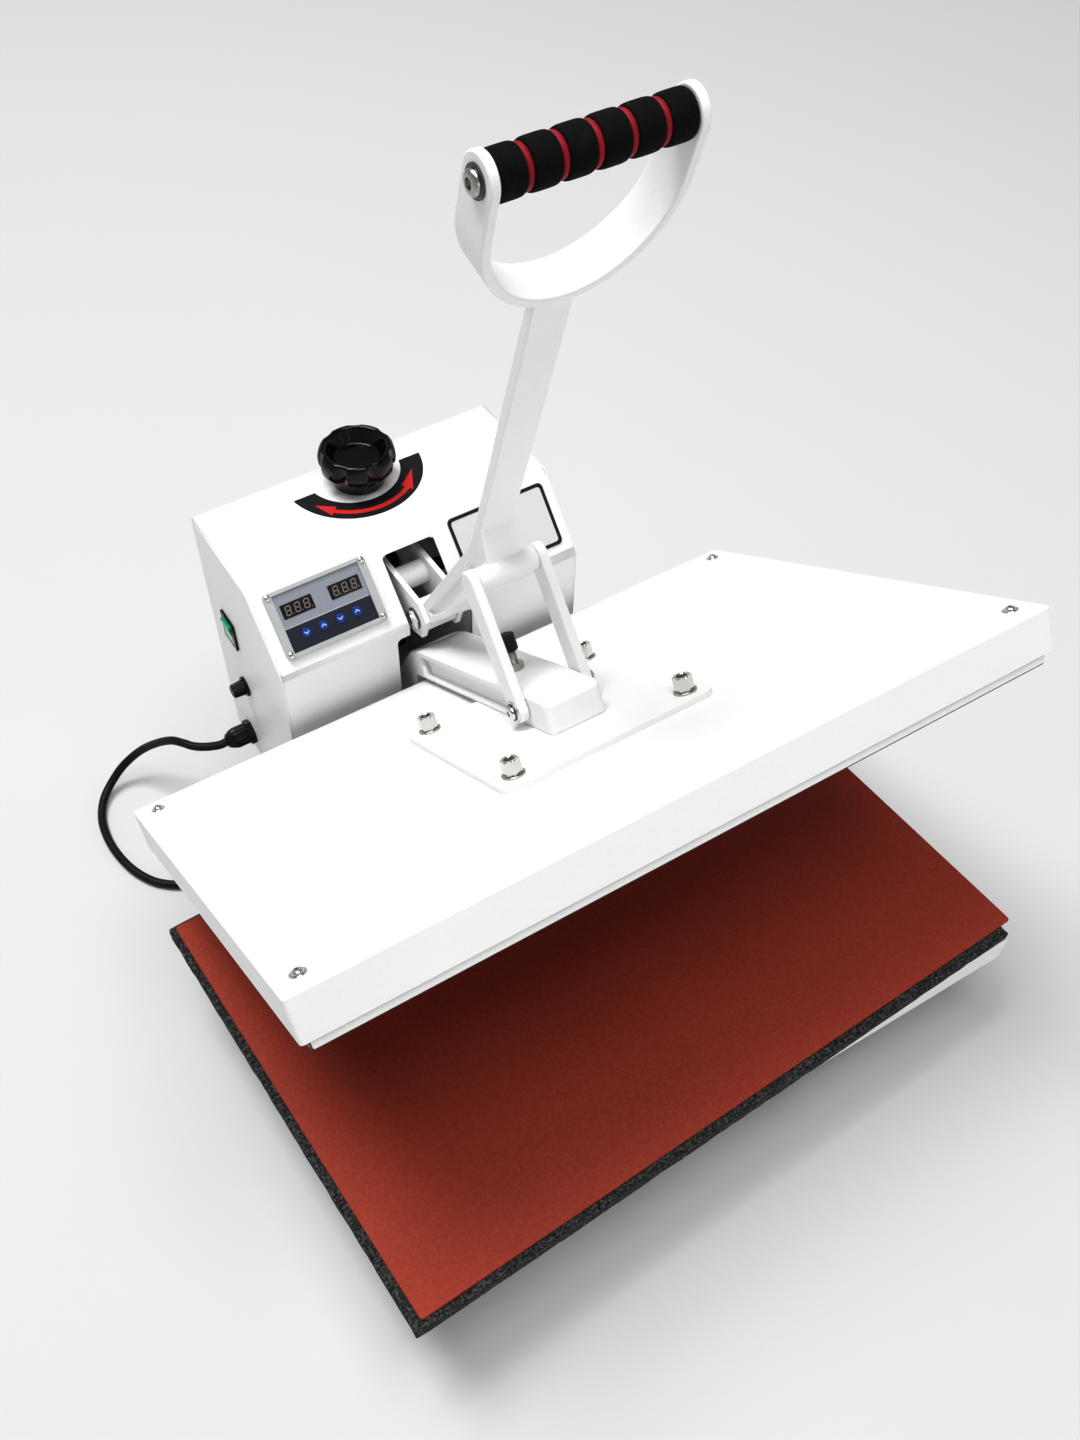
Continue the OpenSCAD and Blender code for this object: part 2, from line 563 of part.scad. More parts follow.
// Pressure setting
knob_dish = 12.5;
module pressure_knob() color("black") place() translate([0, screw_y, box_z1 + 1]) difference() {
  union() {
    cylinder(d1 = knob_d * 0.69, d2 = knob_d * 0.8, h = knob_h * 0.42);
    translate([0, 0, knob_h * 0.42]) cylinder(d1 = knob_d * 0.95, d2 = knob_d, h = knob_h * 0.24);
    translate([0, 0, knob_h * 0.66]) cylinder(d1 = knob_d, d2 = knob_d * 0.97, h = knob_h * 0.2);
    translate([0, 0, knob_h * 0.86]) cylinder(d1 = knob_d * 0.97, d2 = knob_d * 0.87, h = knob_h * 0.14);
  }
  for (k = [0 : 6]) rotate(k * 360 / 7 + 12) translate([knob_d * 0.56, 0, knob_h * 0.42 - 1]) cylinder(d = knob_d * 0.22, h = knob_h);
  translate([0, 0, knob_h - knob_dish]) cylinder(d1 = knob_d * 0.58, d2 = knob_d * 0.76, h = knob_dish + 0.1);
  translate([0, 0, -1]) cylinder(d = screw_d + 0.1, h = 15);
}
module pressure_screw() color("silver") place() translate([0, screw_y, 0]) {
  translate([0, 0, shaft_z - 28]) cylinder(d = screw_d, h = box_z1 + 14 - shaft_z + 28);
  translate([0, 0, box_z1 - 19.7]) cylinder(d = screw_d + 10, h = 5);
  translate([0, 0, box_z1 - 34.3]) cylinder(d = screw_d + 10, h = 6);
}
bracket_d = 40;
bracket_t = 8;
bracket_drop = 20;
module thrust_bracket() color("gainsboro") place() translate([0, screw_y, box_z1 - bracket_drop - bracket_t]) difference() {
  translate([-cheek_x, -bracket_d / 2, 0]) cube([2 * cheek_x, bracket_d, bracket_t]);
  translate([0, 0, -bracket_t]) cylinder(d = screw_d + 0.2, h = 3 * bracket_t);
}
module pressure_yoke() color("white") place() difference() {
  union() {
    pair() translate([ear_x + ear_t / 2, 0, 0]) yz(ear_t) polygon([[p0[0] - 7, p0[1] + 22], [p0[0] - 20, p0[1] + 10], [p0[0] - 11, p0[1] - 15],
      [p0[0] + 4, p0[1] - 20], [screw_y + 8, p0[1] - 16], [screw_y + 14, p0[1] - 10], [screw_y + 14, p0[1] + 15], [shaft_y + 20, p0[1] + 22]]);
    translate([0, shaft_y, shaft_z]) x_rod(shaft_d + 10, 2 * ear_x + 1);
  }
  translate([0, p0[0], p0[1]]) x_rod(12.1, 100);
  translate([0, shaft_y, shaft_z]) x_rod(shaft_d + 0.1, 100);
  translate([0, screw_y, shaft_z]) x_rod(trunnion_d + 0.1, 100);
}
module trunnion_nut() color("goldenrod") place() translate([0, screw_y, shaft_z]) difference() {
  x_rod(trunnion_d, 2 * (ear_x + ear_t) + 6);
  cylinder(d = screw_d + 0.8, h = 60, center = true);
}
module yoke_pivot_pin() color("silver") place() translate([0, shaft_y, shaft_z]) {
  x_rod(shaft_d, 2 * (cheek_x + cheek_t) + 8);
  pair() translate([(ear_x + ear_t + cheek_x) / 2, 0, 0]) x_rod(shaft_d + 6, cheek_x - ear_x - ear_t - 0.4);
}
module lever_pivot_bolt() color("silver") place() translate([0, p0[0], p0[1]]) {
  x_rod(12, 2 * (ear_x + ear_t) + 7);
  pair() translate([ear_x + ear_t, 0, 0]) rotate([0, 90, 0]) {
    cylinder(d = 20, h = 1.2);
    translate([0, 0, 1.2]) hex(17, 3.4);
  }
}

// Platen arm, drawn from the front top edge of the cover: y back, z up
module arm_outline() polygon([[arm_front, plate_t], [arm_front, arm_top - 4], [arm_front + 3, arm_top - 1.5], [arm_front + 65, arm_top],
    [hinge_u - 120, arm_top], [hinge_u - 96, arm_top - 4], [hinge_u - 66, arm_top - 20],
    [hinge_u + hub_d * 0.34, hinge_w + hub_d * 0.34],
    [hinge_u - hub_d * 0.38, hinge_w - hub_d * 0.3], [cover_d + 20, -cover_h * 0.55], [cover_d + 6, plate_t]]);
module press_arm() color("white") place() on_platen() difference() {
  union() {
    yz(arm_w) arm_outline();
    translate([0, hinge_u, hinge_w]) x_rod(hub_d, arm_w);
  }
  pair() translate([arm_w / 2, 0, 0]) yz(2 * arm_pocket) polygon([[arm_front + 65, plate_t + 3], [arm_front + 65, arm_top - 6],
    [cover_d - 16, arm_top - 6], [cover_d - 16, plate_t + 3]]);
  translate([0, hinge_u, hinge_w]) x_rod(axle_d + 0.2, 100);
  translate([0, link_u, link_w]) pair() translate([arm_w / 2 - 16, 0, 0]) rotate([0, 90, 0]) cylinder(d = 8.1, h = 30);
  translate([0, bumper_u, arm_top - 12]) cylinder(d = 8.1, h = 20);
}
module at_studs() for (s = [-1, 1], u = stud_u) translate([s * stud_x, u, 0]) children();
module mount_plate() color("white") place() on_platen() difference() {
  translate([0, plate_front + plate_d / 2, 0]) linear_extrude(height = plate_t) rounded(plate_w, plate_d, 12);
  at_studs() translate([0, 0, -1]) cylinder(d = 9, h = plate_t + 2);
}
nut_h = 11.5;
module mount_nuts() color("silver") place() on_platen() at_studs() {
  translate([0, 0, plate_t]) cylinder(d = 18, h = 1.6);
  translate([0, 0, plate_t + 1.6]) difference() {
    hex(13, nut_h);
    translate([0, 0, nut_h - 4]) cylinder(d = 8.6, h = 5);
  }
  translate([0, 0, heat_low + heat_t]) cylinder(d = 8, h = plate_t + 1.6 + nut_h - 5 - heat_low - heat_t);
}
cover_screw_in = 18;
module cover_holes(d) for (s = [-1, 1], u = [20, cover_d - 22]) translate([s * (cover_w / 2 - cover_screw_in), u, -8]) cylinder(d = d, h = 16);
module top_cover() color("white") place() on_platen() difference() {
  translate([0, cover_d / 2, -cover_h]) linear_extrude(height = cover_h) rounded(cover_w, cover_d, 3);
  translate([0, cover_d / 2, -cover_h - 1]) linear_extrude(height = cover_h + 1 - cover_t) rounded(cover_w - 2 * cover_t, cover_d - 2 * cover_t, 1.5);
  at_studs() translate([0, 0, -10]) cylinder(d = 9, h = 20);
  cover_holes(4.3);
}
module cover_screws() color("silver") place() on_platen() for (s = [-1, 1], u = [20, cover_d - 22]) translate([s * (cover_w / 2 - cover_screw_in), u, 0]) {
  cylinder(d = 12, h = 1);
  translate([0, 0, 1]) cylinder(d1 = 8.4, d2 = 6, h = 2.4);
  translate([0, 0, heat_low + heat_t]) cylinder(d = 4, h = 1.5 - heat_low - heat_t);
}
module insulation_blanket() color("khaki") place() on_platen() difference() {
  translate([0, cover_d / 2, heat_low + heat_t + element_d / 2 + 0.6]) linear_extrude(height = -cover_t - 0.4 - heat_low - heat_t - element_d / 2 - 0.6)
    rounded(heat_w - 8, heat_d - 8, 4);
  at_studs() translate([0, 0, -60]) cylinder(d = 12, h = 80);
  for (s = [-1, 1], u = [20, cover_d - 22]) translate([s * (cover_w / 2 - cover_screw_in), u, -60]) cylinder(d = 8, h = 80);
}
// Heating rods lie half deep in grooves across the top of the platen
rod_end = 35;
rod_l = heat_w - 2 * rod_end;
// Two rods ahead of the front studs, two between the studs, two behind them
rod_u = [for (zone = [[cover_edge, stud_u[0], 0.4, 0.82], [stud_u[0], stud_u[1], 0.32, 0.68], [stud_u[1], cover_d - cover_edge, 0.18, 0.6]], k = [2, 3])
  zone[0] + (zone[1] - zone[0]) * zone[k]];
module rods(d, l) for (u = rod_u) translate([0, u, heat_low + heat_t]) x_rod(d, l);
module heating_rods() color("slategray") place() on_platen() rods(element_d, rod_l);
module heat_platen() color("silver") place() on_platen() difference() {
  translate([0, cover_d / 2, heat_low]) linear_extrude(height = heat_t) rounded(heat_w, heat_d, 2);
  rods(element_d + 0.2, rod_l + 1);
}
module bumper_bolt() color("silver") place() on_platen() translate([0, bumper_u, arm_top]) {
  translate([0, 0, -11]) cylinder(d = 8, h = 34.3);
  hex(13, 6.5);
}
module bumper_cap() color("black") place() on_platen() translate([0, bumper_u, arm_top + 16.5]) difference() {
  cylinder(d1 = 14, d2 = 13, h = 14);
  translate([0, 0, -1]) cylinder(d = 8.1, h = 8);
}

// Toggle links, drawn from the link bolts: y towards the cross bar
link_x = arm_w / 2 + 0.6;
module toggle_links() color("white") place() on_links() pair() translate([link_x + link_t / 2, 0, 0]) yz(link_t) difference() {
  union() {
    circle(d = link_b);
    translate([0, -link_b / 2]) square([link_l, link_b]);
    translate([link_l, 0]) circle(d = link_b);
  }
  circle(d = 8.2);
}
module link_bolts() color("dimgray") place() on_links() pair() {
  translate([link_x + link_t + 0.8 + 0.1, 0, 0]) x_rod(17, 1.6);
  translate([link_x + link_t + 1.7, 0, 0]) rotate([0, 90, 0]) cylinder(d1 = 13, d2 = 9.5, h = 3.4);
  translate([arm_w / 2 - 15, 0, 0]) rotate([0, 90, 0]) cylinder(d = 8, h = link_x + link_t + 2 - arm_w / 2 + 15);
}

// Lever, drawn from its pivot: y towards the cross bar
lever_eye = 28;
limb_heel = 60;
limb_ramp = 14;
limb_pocket = 3;
rib_t = 5;
module lever_outline() {
  polygon(concat(
    [[-4, limb_back(-4)]],
    [for (k = [0 : 8]) let (a = limb_a + k * (upright_a - limb_a) / 8) bend_c + bend_r * [sin(a), cos(a)]],
    [upright_end, lever_end],
    [[limb_stop + limb_ramp, front_at(limb_stop + limb_ramp)], [limb_stop, limb_front(limb_stop)], [limb_heel, limb_front(limb_heel)],
      [lever_eye * 0.54, lever_eye * 0.36], [0, lever_eye * 0.43]]));
  circle(d = lever_eye);
}
module lever_pocket() polygon([[lever_eye - 4, limb_back(lever_eye - 4) + lever_t], [bend_at - 12, limb_back(bend_at - 12) + lever_t],
  [bend_at - 2, limb_front(bend_at - 2) - rib_t], [limb_heel, limb_front(limb_heel) - rib_t], [lever_eye, rib_t]]);
module lever_bar() color("white") place() on_lever() difference() {
  union() {
    difference() {
      yz(lever_b) lever_outline();
      pair() translate([lever_b / 2, 0, 0]) yz(2 * limb_pocket) lever_pocket();
    }
    translate([0, crank_l, 0]) x_rod(bar_d, 50);
  }
  x_rod(12.2, 100);
  translate([0, upright_end[0], upright_end[1]]) rotate([-upright_a, 0, 0]) translate([0, grip_up - strap_gap - strap_side, lever_t / 2])
    cylinder(r = strap_r, h = 60, center = true, $fn = 128);
}
module handle_strap() color("white") place() on_grip() difference() {
  intersection() {
    linear_extrude(height = strap_w, center = true) difference() {
      union() {
        translate([0, -strap_side]) circle(strap_r, $fn = 128);
        translate([-strap_r, -strap_side]) square([2 * strap_r, strap_side + strap_w / 2]);
      }
      translate([0, -strap_side]) circle(strap_r - strap_t, $fn = 128);
      translate([-strap_r + strap_t, -strap_side]) square([2 * (strap_r - strap_t), strap_side + strap_w]);
    }
    yz(2 * strap_r + 2) union() {
      circle(d = strap_w);
      translate([-strap_side - strap_r - 1, -strap_w / 2]) square([strap_side + strap_r + 1, strap_w]);
    }
  }
  x_rod(8.1, 200);
}
module grip_rod() color("silver") place() on_grip() difference() {
  x_rod(rod_d, grip_l);
  pair() translate([grip_l / 2 - 14, 0, 0]) rotate([0, 90, 0]) cylinder(d = 8.1, h = 20);
}
ring_w = 4;
module foam_grip() color("black") place() on_grip() difference() {
  x_rod(grip_d, grip_l - 0.6);
  x_rod(rod_d + 0.1, 200);
  for (k = [-2 : 2]) translate([k * (grip_l - 0.6 + ring_w) / 6, 0, 0]) difference() {
    x_rod(grip_d + 4, ring_w);
    x_rod(grip_d - 5, ring_w + 1);
  }
}
module grip_rings() color("red") place() on_grip() for (k = [-2 : 2]) translate([k * (grip_l - 0.6 + ring_w) / 6, 0, 0]) difference() {
  x_rod(grip_d - 2, ring_w - 0.1);
  x_rod(grip_d - 4.9, ring_w + 1);
}
module grip_bolts() color("silver") place() on_grip() pair() {
  translate([strap_r + 0.8, 0, 0]) x_rod(18, 1.6);
  translate([strap_r + 1.6, 0, 0]) rotate([0, 90, 0]) cylinder(d1 = 14, d2 = 10, h = 3.6);
  translate([strap_r - strap_t - 13, 0, 0]) rotate([0, 90, 0]) cylinder(d = 8, h = strap_t + 15);
}

base_frame();
rubber_feet();
deck_plate();
hinge_cheeks();
lower_platen();
foam_pad();
silicone_pad();
hinge_axle();
torsion_springs();
box_shell();
box_end_left();
box_end_right();
box_back();
box_screws();
panel_bezel();
panel_fascia();
display_windows();
panel_screws();
controller_board();
temp_down_button();
temp_up_button();
time_down_button();
time_up_button();
plain_plate();
pressure_scale();
switch_housing();
power_rocker();
fuse_holder();
cable_gland();
gland_nut();
power_cord();
cord_coil();
cord_tie();
power_plug();
plug_pins();
pressure_knob();
pressure_screw();
thrust_bracket();
pressure_yoke();
trunnion_nut();
yoke_pivot_pin();
lever_pivot_bolt();
press_arm();
mount_plate();
mount_nuts();
top_cover();
cover_screws();
insulation_blanket();
heating_rods();
heat_platen();
bumper_bolt();
bumper_cap();
toggle_links();
link_bolts();
lever_bar();
handle_strap();
grip_rod();
foam_grip();
grip_rings();
grip_bolts();
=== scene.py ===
import json
import math
import bmesh
import bpy
import numpy as np
from mathutils import Matrix


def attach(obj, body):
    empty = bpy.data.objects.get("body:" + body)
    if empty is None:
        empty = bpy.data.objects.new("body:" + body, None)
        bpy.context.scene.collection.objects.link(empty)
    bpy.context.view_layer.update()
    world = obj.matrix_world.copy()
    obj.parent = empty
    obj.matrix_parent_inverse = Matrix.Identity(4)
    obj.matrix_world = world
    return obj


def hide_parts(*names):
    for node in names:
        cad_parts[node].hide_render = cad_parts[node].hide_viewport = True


# Clamshell heat press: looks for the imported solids, in metres, in the frame of the CAD
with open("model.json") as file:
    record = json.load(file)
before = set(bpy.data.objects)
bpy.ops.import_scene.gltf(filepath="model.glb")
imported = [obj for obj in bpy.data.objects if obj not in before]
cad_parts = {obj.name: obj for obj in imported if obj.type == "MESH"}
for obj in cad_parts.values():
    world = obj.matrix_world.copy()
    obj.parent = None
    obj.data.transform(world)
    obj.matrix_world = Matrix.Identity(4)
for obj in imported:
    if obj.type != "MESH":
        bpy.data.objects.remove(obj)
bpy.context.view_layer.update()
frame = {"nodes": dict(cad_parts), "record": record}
nodes = frame["nodes"]
bodyOf = {node: body for body, members in frame["record"]["behaviour"]["bodies"].items() for node in members}
slotOf = {row["node"]: row["material_slot"] for row in frame["record"]["subparts"]}
scene = bpy.context.scene
mm = 0.001


def linked(name, data):
    made = bpy.data.objects.new(name, data)
    scene.collection.objects.link(made)
    return made


# Camera, from the lines of the press itself
viewpoint = {
    "place": (-0.39127, -0.588845, 1.116193),
    "right": (0.856854, -0.515381, -0.013536),
    "up": (0.420026, 0.682615, 0.598009),
    "back": (-0.298962, -0.518092, 0.801375),
    "sensor": 36,
    "lens": 33.6465,
    "shift": (0.04236, 0.06046),
    "clip": (0.02, 40),
}
lensData = bpy.data.cameras.new("pressCamera")
lensData.sensor_width, lensData.lens = viewpoint["sensor"], viewpoint["lens"]
lensData.shift_x, lensData.shift_y = viewpoint["shift"]
lensData.clip_start, lensData.clip_end = viewpoint["clip"]
pressCamera = linked("pressCamera", lensData)
cameraColumns = [viewpoint[key] for key in ("right", "up", "back", "place")]
pressCamera.matrix_world = Matrix([*zip(*cameraColumns), (0, 0, 0, 1)])
scene.camera = pressCamera
print("camera set")

# Local frames of the press: points come as (..., 3) arrays in millimetres, and leave in metres
armHinge = {"place": np.array((0, 204.478, 113)), "fromCover": np.array((0, 514, -51.5)), "open": 32}
leverPivot = {"place": np.array((0, 159.478, 276)), "lean": 129.586}
gripSeat = {"foot": np.array((0, 419.156, -131.313)), "lean": -23, "rod": np.array((0, 93.51, 4.25))}
boxSlope = {"foot": np.array((0, 159.478, 272)), "lean": 45.516}


def polar(radius, degrees):
    return np.stack([radius * np.cos(np.radians(degrees)), radius * np.sin(np.radians(degrees))], -1)


def turnedX(points, degrees):
    c, s = polar(1, degrees)
    x, y, z = np.moveaxis(points, -1, 0)
    return np.stack([x, y * c - z * s, y * s + z * c], -1)


def onStand(points):  # the CAD's own frame
    return points * mm


def onCover(points):  # x, u back from the front edge of the cover, w up from its top
    fromHinge = points - armHinge["fromCover"]
    return (turnedX(fromHinge, -armHinge["open"]) + armHinge["place"]) * mm


def intoCover(points):  # from metres back to x, u, w
    fromHinge = points / mm - armHinge["place"]
    return turnedX(fromHinge, armHinge["open"]) + armHinge["fromCover"]


def onLever(points):  # from the lever pivot, y towards the cross bar
    return (turnedX(points, leverPivot["lean"]) + leverPivot["place"]) * mm


def onGrip(points):  # from the grip's middle, x along the grip, y up the handle, z square to both
    return onLever(turnedX(points + gripSeat["rod"], gripSeat["lean"]) + gripSeat["foot"])


def onSlope(points):  # the sloped front of the box: x, y up the slope, z out of it
    return (turnedX(points, boxSlope["lean"]) + boxSlope["foot"]) * mm


# Meshes from arrays
def gridFaces(along, around, capEnds):
    index = np.arange(along * around).reshape(along, around)
    after = np.roll(index, -1, 1)
    faces = np.stack([index[:-1], after[:-1], after[1:], index[1:]], -1).reshape(-1, 4).tolist()
    return faces + [index[0, ::-1].tolist(), index[-1].tolist()] if capEnds else faces


def builtMesh(name, grids, capEnds):
    # each grid is (along, round, 3) in metres: neighbouring points make quads, the end rings close as caps
    faces, start = [], 0
    for rows in grids:
        faces += [[i + start for i in face] for face in gridFaces(*rows.shape[:2], capEnds)]
        start += rows.shape[0] * rows.shape[1]
    mesh = bpy.data.meshes.new(name)
    mesh.from_pydata(np.concatenate([rows.reshape(-1, 3) for rows in grids]).tolist(), [], faces)
    shape = bmesh.new()
    shape.from_mesh(mesh)
    bmesh.ops.remove_doubles(shape, verts=shape.verts, dist=1e-7)
    bmesh.ops.recalc_face_normals(shape, faces=shape.faces)
    shape.to_mesh(mesh)
    shape.free()
    return mesh


def anglesRound(count):
    return np.linspace(0, 2 * np.pi, count, endpoint=False)


def spun(radius, height, angle):  # radii as (rows, angles), and one height for each row
    height = np.broadcast_to(height, radius.shape)
    return np.stack([radius * np.cos(angle), radius * np.sin(angle), height], -1)


def turned(profile, around=72):
    # rows of (half across flats, round limit, height) round z: a hexagon's radius, cut back to the limit;
    # rows of (radius, height) are plain rings, with the flats far outside them
    rows = np.array([row if len(row) == 3 else (1e4, *row) for row in profile], float)
    angle = anglesRound(around)
    fold = (angle + np.pi / 6) % (np.pi / 3) - np.pi / 6
    return spun(np.minimum(rows[:, :1] / np.cos(fold), rows[:, 1:2]), rows[:, 2:], angle)


def sideways(points, way):  # lays the z axis along x, to the right or to the left
    x, y, z = np.moveaxis(points, -1, 0)
    return np.stack([way * z, x, y], -1)


def roundedRectangle(width, height, radius):
    turn = np.linspace(0, np.pi / 2, 8)
    corners = [(1, 1, 0), (-1, 1, 1), (-1, -1, 2), (1, -1, 3)]
    return np.concatenate([np.stack([
        i * (width / 2 - radius) + radius * np.cos(turn + k * np.pi / 2),
        j * (height / 2 - radius) + radius * np.sin(turn + k * np.pi / 2),
    ], -1) for i, j, k in corners])


def lifted(outline, *heights):  # a flat outline repeated at each height
    return np.stack([np.column_stack([outline, np.full(len(outline), height)]) for height in heights])


def insetRings(size, corner, steps):  # rounded rectangles, each drawn in by its inset and at its height
    return np.concatenate([
        lifted(roundedRectangle(*(np.array(size) - 2 * inset), max(corner - inset, 0.5)), height)
        for inset, height in steps
    ])


def weighNormals(piece, keepSharp):  # large faces lead the shading
    normals = piece.modifiers.new("normals", "WEIGHTED_NORMAL")
    normals.weight, normals.keep_sharp = 80, keepSharp


def placed(name, mesh, finish, body, instead, sharp):
    mesh.polygons.foreach_set("use_smooth", np.ones(len(mesh.polygons), bool))
    mesh.materials.clear()
    mesh.materials.append(finish)
    piece = linked(name, mesh)
    if sharp:
        mesh.set_sharp_from_angle(angle=math.radians(sharp))
        weighNormals(piece, True)
    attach(piece, body)
    if instead:
        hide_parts(*instead)
    return piece


def fitted(name, grids, body, slot, instead=(), finish=None, sharp=30, capEnds=True):
    mesh = builtMesh(name, grids, capEnds)
    return placed(name, mesh, finish or finishes[slot], body, instead, sharp)


# Cord: a dense smooth line through the route's points, then the coil and its straight tail
cordLay = {
    "diameter": 8.5,
    "exit": (-178, 281.478, 82),
    "lie": -77.55,
    "steps": 8,
    "lead": 10,
    "coilCentre": (-206, 226.478),
    "coilRadius": 53.2,
    "coilPitch": 9.2,
    "coilStart": 240,
    "coilHeight": 6,
    "turns": 4,
    "turnSteps": 48,
    "climb": (1.75, 2.25),
    "tail": 60,
    "sides": 16,
}


def smoothLine(points, steps):
    # Catmull-Rom: each stretch is a cubic that passes its points along the chord of their neighbours
    held = np.vstack([2 * points[0] - points[1], points, 2 * points[-1] - points[-2]])
    a, b, c, d = held[:-3, None], held[1:-2, None], held[2:-1, None], held[3:, None]
    t = np.linspace(0, 1, steps, endpoint=False)[None, :, None]
    square, cube = 2 * a - 5 * b + 4 * c - d, 3 * b - a - 3 * c + d
    line = 0.5 * (2 * b + (c - a) * t + square * t ** 2 + cube * t ** 3)
    return np.vstack([line.reshape(-1, 3), points[-1:]])


def tubeAlong(path, radius, sides):
    # a ring of points square to the path at each of its points, its first spoke kept level
    run = np.gradient(path, axis=0)
    run /= np.linalg.norm(run, axis=1, keepdims=True)
    level = np.cross(run, (0, 0, 1))
    level /= np.linalg.norm(level, axis=1, keepdims=True)
    rise = np.cross(level, run)
    angle = anglesRound(sides)[None, :, None]
    return path[:, None] + radius * (np.cos(angle) * level[:, None] + np.sin(angle) * rise[:, None])


def cordLine():
    low = cordLay["lie"]
    route = np.array([
        (0, 0, 0), (-8, 0, 0), (-20.5, 4, 1), (-31, 11, 1.5), (-38.5, 20.5, 1.5), (-46.5, 33.5, -3),
        (-59, 51.5, -18.5), (-74, 69, -39.5), (-93, 75.5, -57), (-109.5, 72, -68.5), (-125, 60.5, low + 2.5),
        (-135.5, 42, low + 0.2), (-140, 21, low), (-140.5, -1, low), (-137.5, -22.5, low), (-132, -41, low),
        (-123.5, -57.5, low), (-114, -68.5, low), (-99.5, -79, low + 0.4),
    ]) + cordLay["exit"]
    heading = np.array((*polar(1, cordLay["coilStart"] + 90), 0))
    t = np.arange(0, cordLay["turns"] * cordLay["turnSteps"] + 1) / cordLay["turnSteps"]
    reach = cordLay["coilRadius"] - cordLay["coilPitch"] * np.minimum(t, cordLay["turns"] - t)
    lift = np.interp(t, cordLay["climb"], (0, cordLay["coilPitch"]))
    flat = polar(reach, cordLay["coilStart"] + 360 * t) + cordLay["coilCentre"]
    coil = np.column_stack([flat, cordLay["coilHeight"] + lift])
    head = coil[0] - cordLay["diameter"] * heading
    free = smoothLine(np.vstack([route, head - cordLay["lead"] * heading, head, coil[0]]), cordLay["steps"])
    tail = coil[-1] + np.linspace(0, 1, 9)[1:, None] * cordLay["tail"] * heading
    return np.vstack([free, coil[1:], tail])


cordPath = cordLine()


# Shader maths: a wire is one socket, and arithmetic on wires adds Math nodes
class Wire:
    def __init__(self, finish, socket):
        self.finish = finish
        self.socket = socket

    def maths(self, operation, *values):
        return self.finish.node("ShaderNodeMath", {"operation": operation}, dict(enumerate(values)))

    def __add__(self, other):
        return self.maths("ADD", self, other)

    def __radd__(self, other):
        return self.maths("ADD", other, self)

    def __sub__(self, other):
        return self.maths("SUBTRACT", self, other)

    def __rsub__(self, other):
        return self.maths("SUBTRACT", other, self)

    def __mul__(self, other):
        return self.maths("MULTIPLY", self, other)

    def __rmul__(self, other):
        return self.maths("MULTIPLY", other, self)

    def between(self, low, high):  # 0 at low, 1 at high, smooth in between
        return self.finish.node("ShaderNodeMapRange", {"interpolation_type": "SMOOTHSTEP"},
                                {"Value": self, "From Min": low, "From Max": high})


class Finish:
    def __init__(self, name, **fixed):
        self.material = bpy.data.materials.new(name)
        self.material.use_nodes = True
        self.tree = self.material.node_tree
        self.shader = next(n for n in self.tree.nodes if n.type == "BSDF_PRINCIPLED")
        for socket, value in fixed.items():
            self.shader.inputs[socket.replace("_", " ")].default_value = value

    def node(self, kind, settings=None, sockets=None, output=0):
        made = self.tree.nodes.new(kind)
        for setting, value in (settings or {}).items():
            setattr(made, setting, value)
        for socket, value in (sockets or {}).items():
            self.feed(made.inputs[socket], value)
        return Wire(self, made.outputs[output])

    def feed(self, socket, value):
        if isinstance(value, Wire):
            self.tree.links.new(value.socket, socket)
        else:
            socket.default_value = value

    def into(self, name, value):
        self.feed(self.shader.inputs[name], value)
        return self

    def place(self):
        return self.node("ShaderNodeTexCoord", output="Object")

    def noise(self, scale, detail=2.0, rough=0.5, stretch=None):
        where = self.place()
        if stretch:
            where = self.node("ShaderNodeMapping", None, {"Vector": where, "Scale": stretch})
        return self.node("ShaderNodeTexNoise", None,
                         {"Vector": where, "Scale": scale, "Detail": detail, "Roughness": rough})

    def cells(self, scale, feature="F1"):
        sockets = {"Vector": self.place(), "Scale": scale}
        return self.node("ShaderNodeTexVoronoi", {"feature": feature}, sockets)

    def mix(self, share, first, second):  # the node's colours are its inputs 6 and 7 and its output 2
        first = (*first, 1) if isinstance(first, tuple) else first
        return self.node("ShaderNodeMix", {"data_type": "RGBA"}, {0: share, 6: first, 7: (*second, 1)}, 2)

    def relief(self, height, distance, strength):
        sockets = {"Height": height, "Distance": distance, "Strength": strength}
        return self.into("Normal", self.node("ShaderNodeBump", None, sockets))


def grey(level):
    return (level, level, level)


def powderCoat(name, light, dark):
    # satin powder paint: fine orange peel, faint handling marks, slightly deeper tone in broad patches
    coat = Finish(name, IOR=1.5, Specular_IOR_Level=0.42)
    broad = coat.noise(7, 3, 0.6)
    marks = coat.noise(46, 4, 0.65).between(0.62, 0.78)
    tone = coat.mix(broad.between(0.3, 0.7), dark, light)
    speckle = coat.noise(620, 2, 0.6).between(0.35, 0.7)
    coat.into("Base Color", coat.mix(marks * 0.10 + speckle * 0.10, tone, (0.60, 0.60, 0.58)))
    coat.into("Roughness", 0.36 + broad * 0.10 + marks * 0.08)
    peel = coat.noise(900, 2, 0.5) + coat.noise(2600, 1, 0.5) * 0.4
    return coat.relief(peel, 0.00005, 0.35).material


def plainMetal(name, light, dark, rough, grain=(1, 1, 1), scale=900):
    # machined or plated metal: fine drawn grain, smudges that dull it a little
    metal = Finish(name, Metallic=1.0)
    grainLines = metal.noise(scale, 3, 0.6, stretch=grain)
    smudge = metal.noise(60, 3, 0.6).between(0.35, 0.75)
    metal.into("Base Color", metal.mix(grainLines.between(0.3, 0.7), dark, light))
    metal.into("Roughness", rough + grainLines * 0.05 + smudge * 0.08)
    return metal.relief(grainLines, 0.000006, 0.3).material


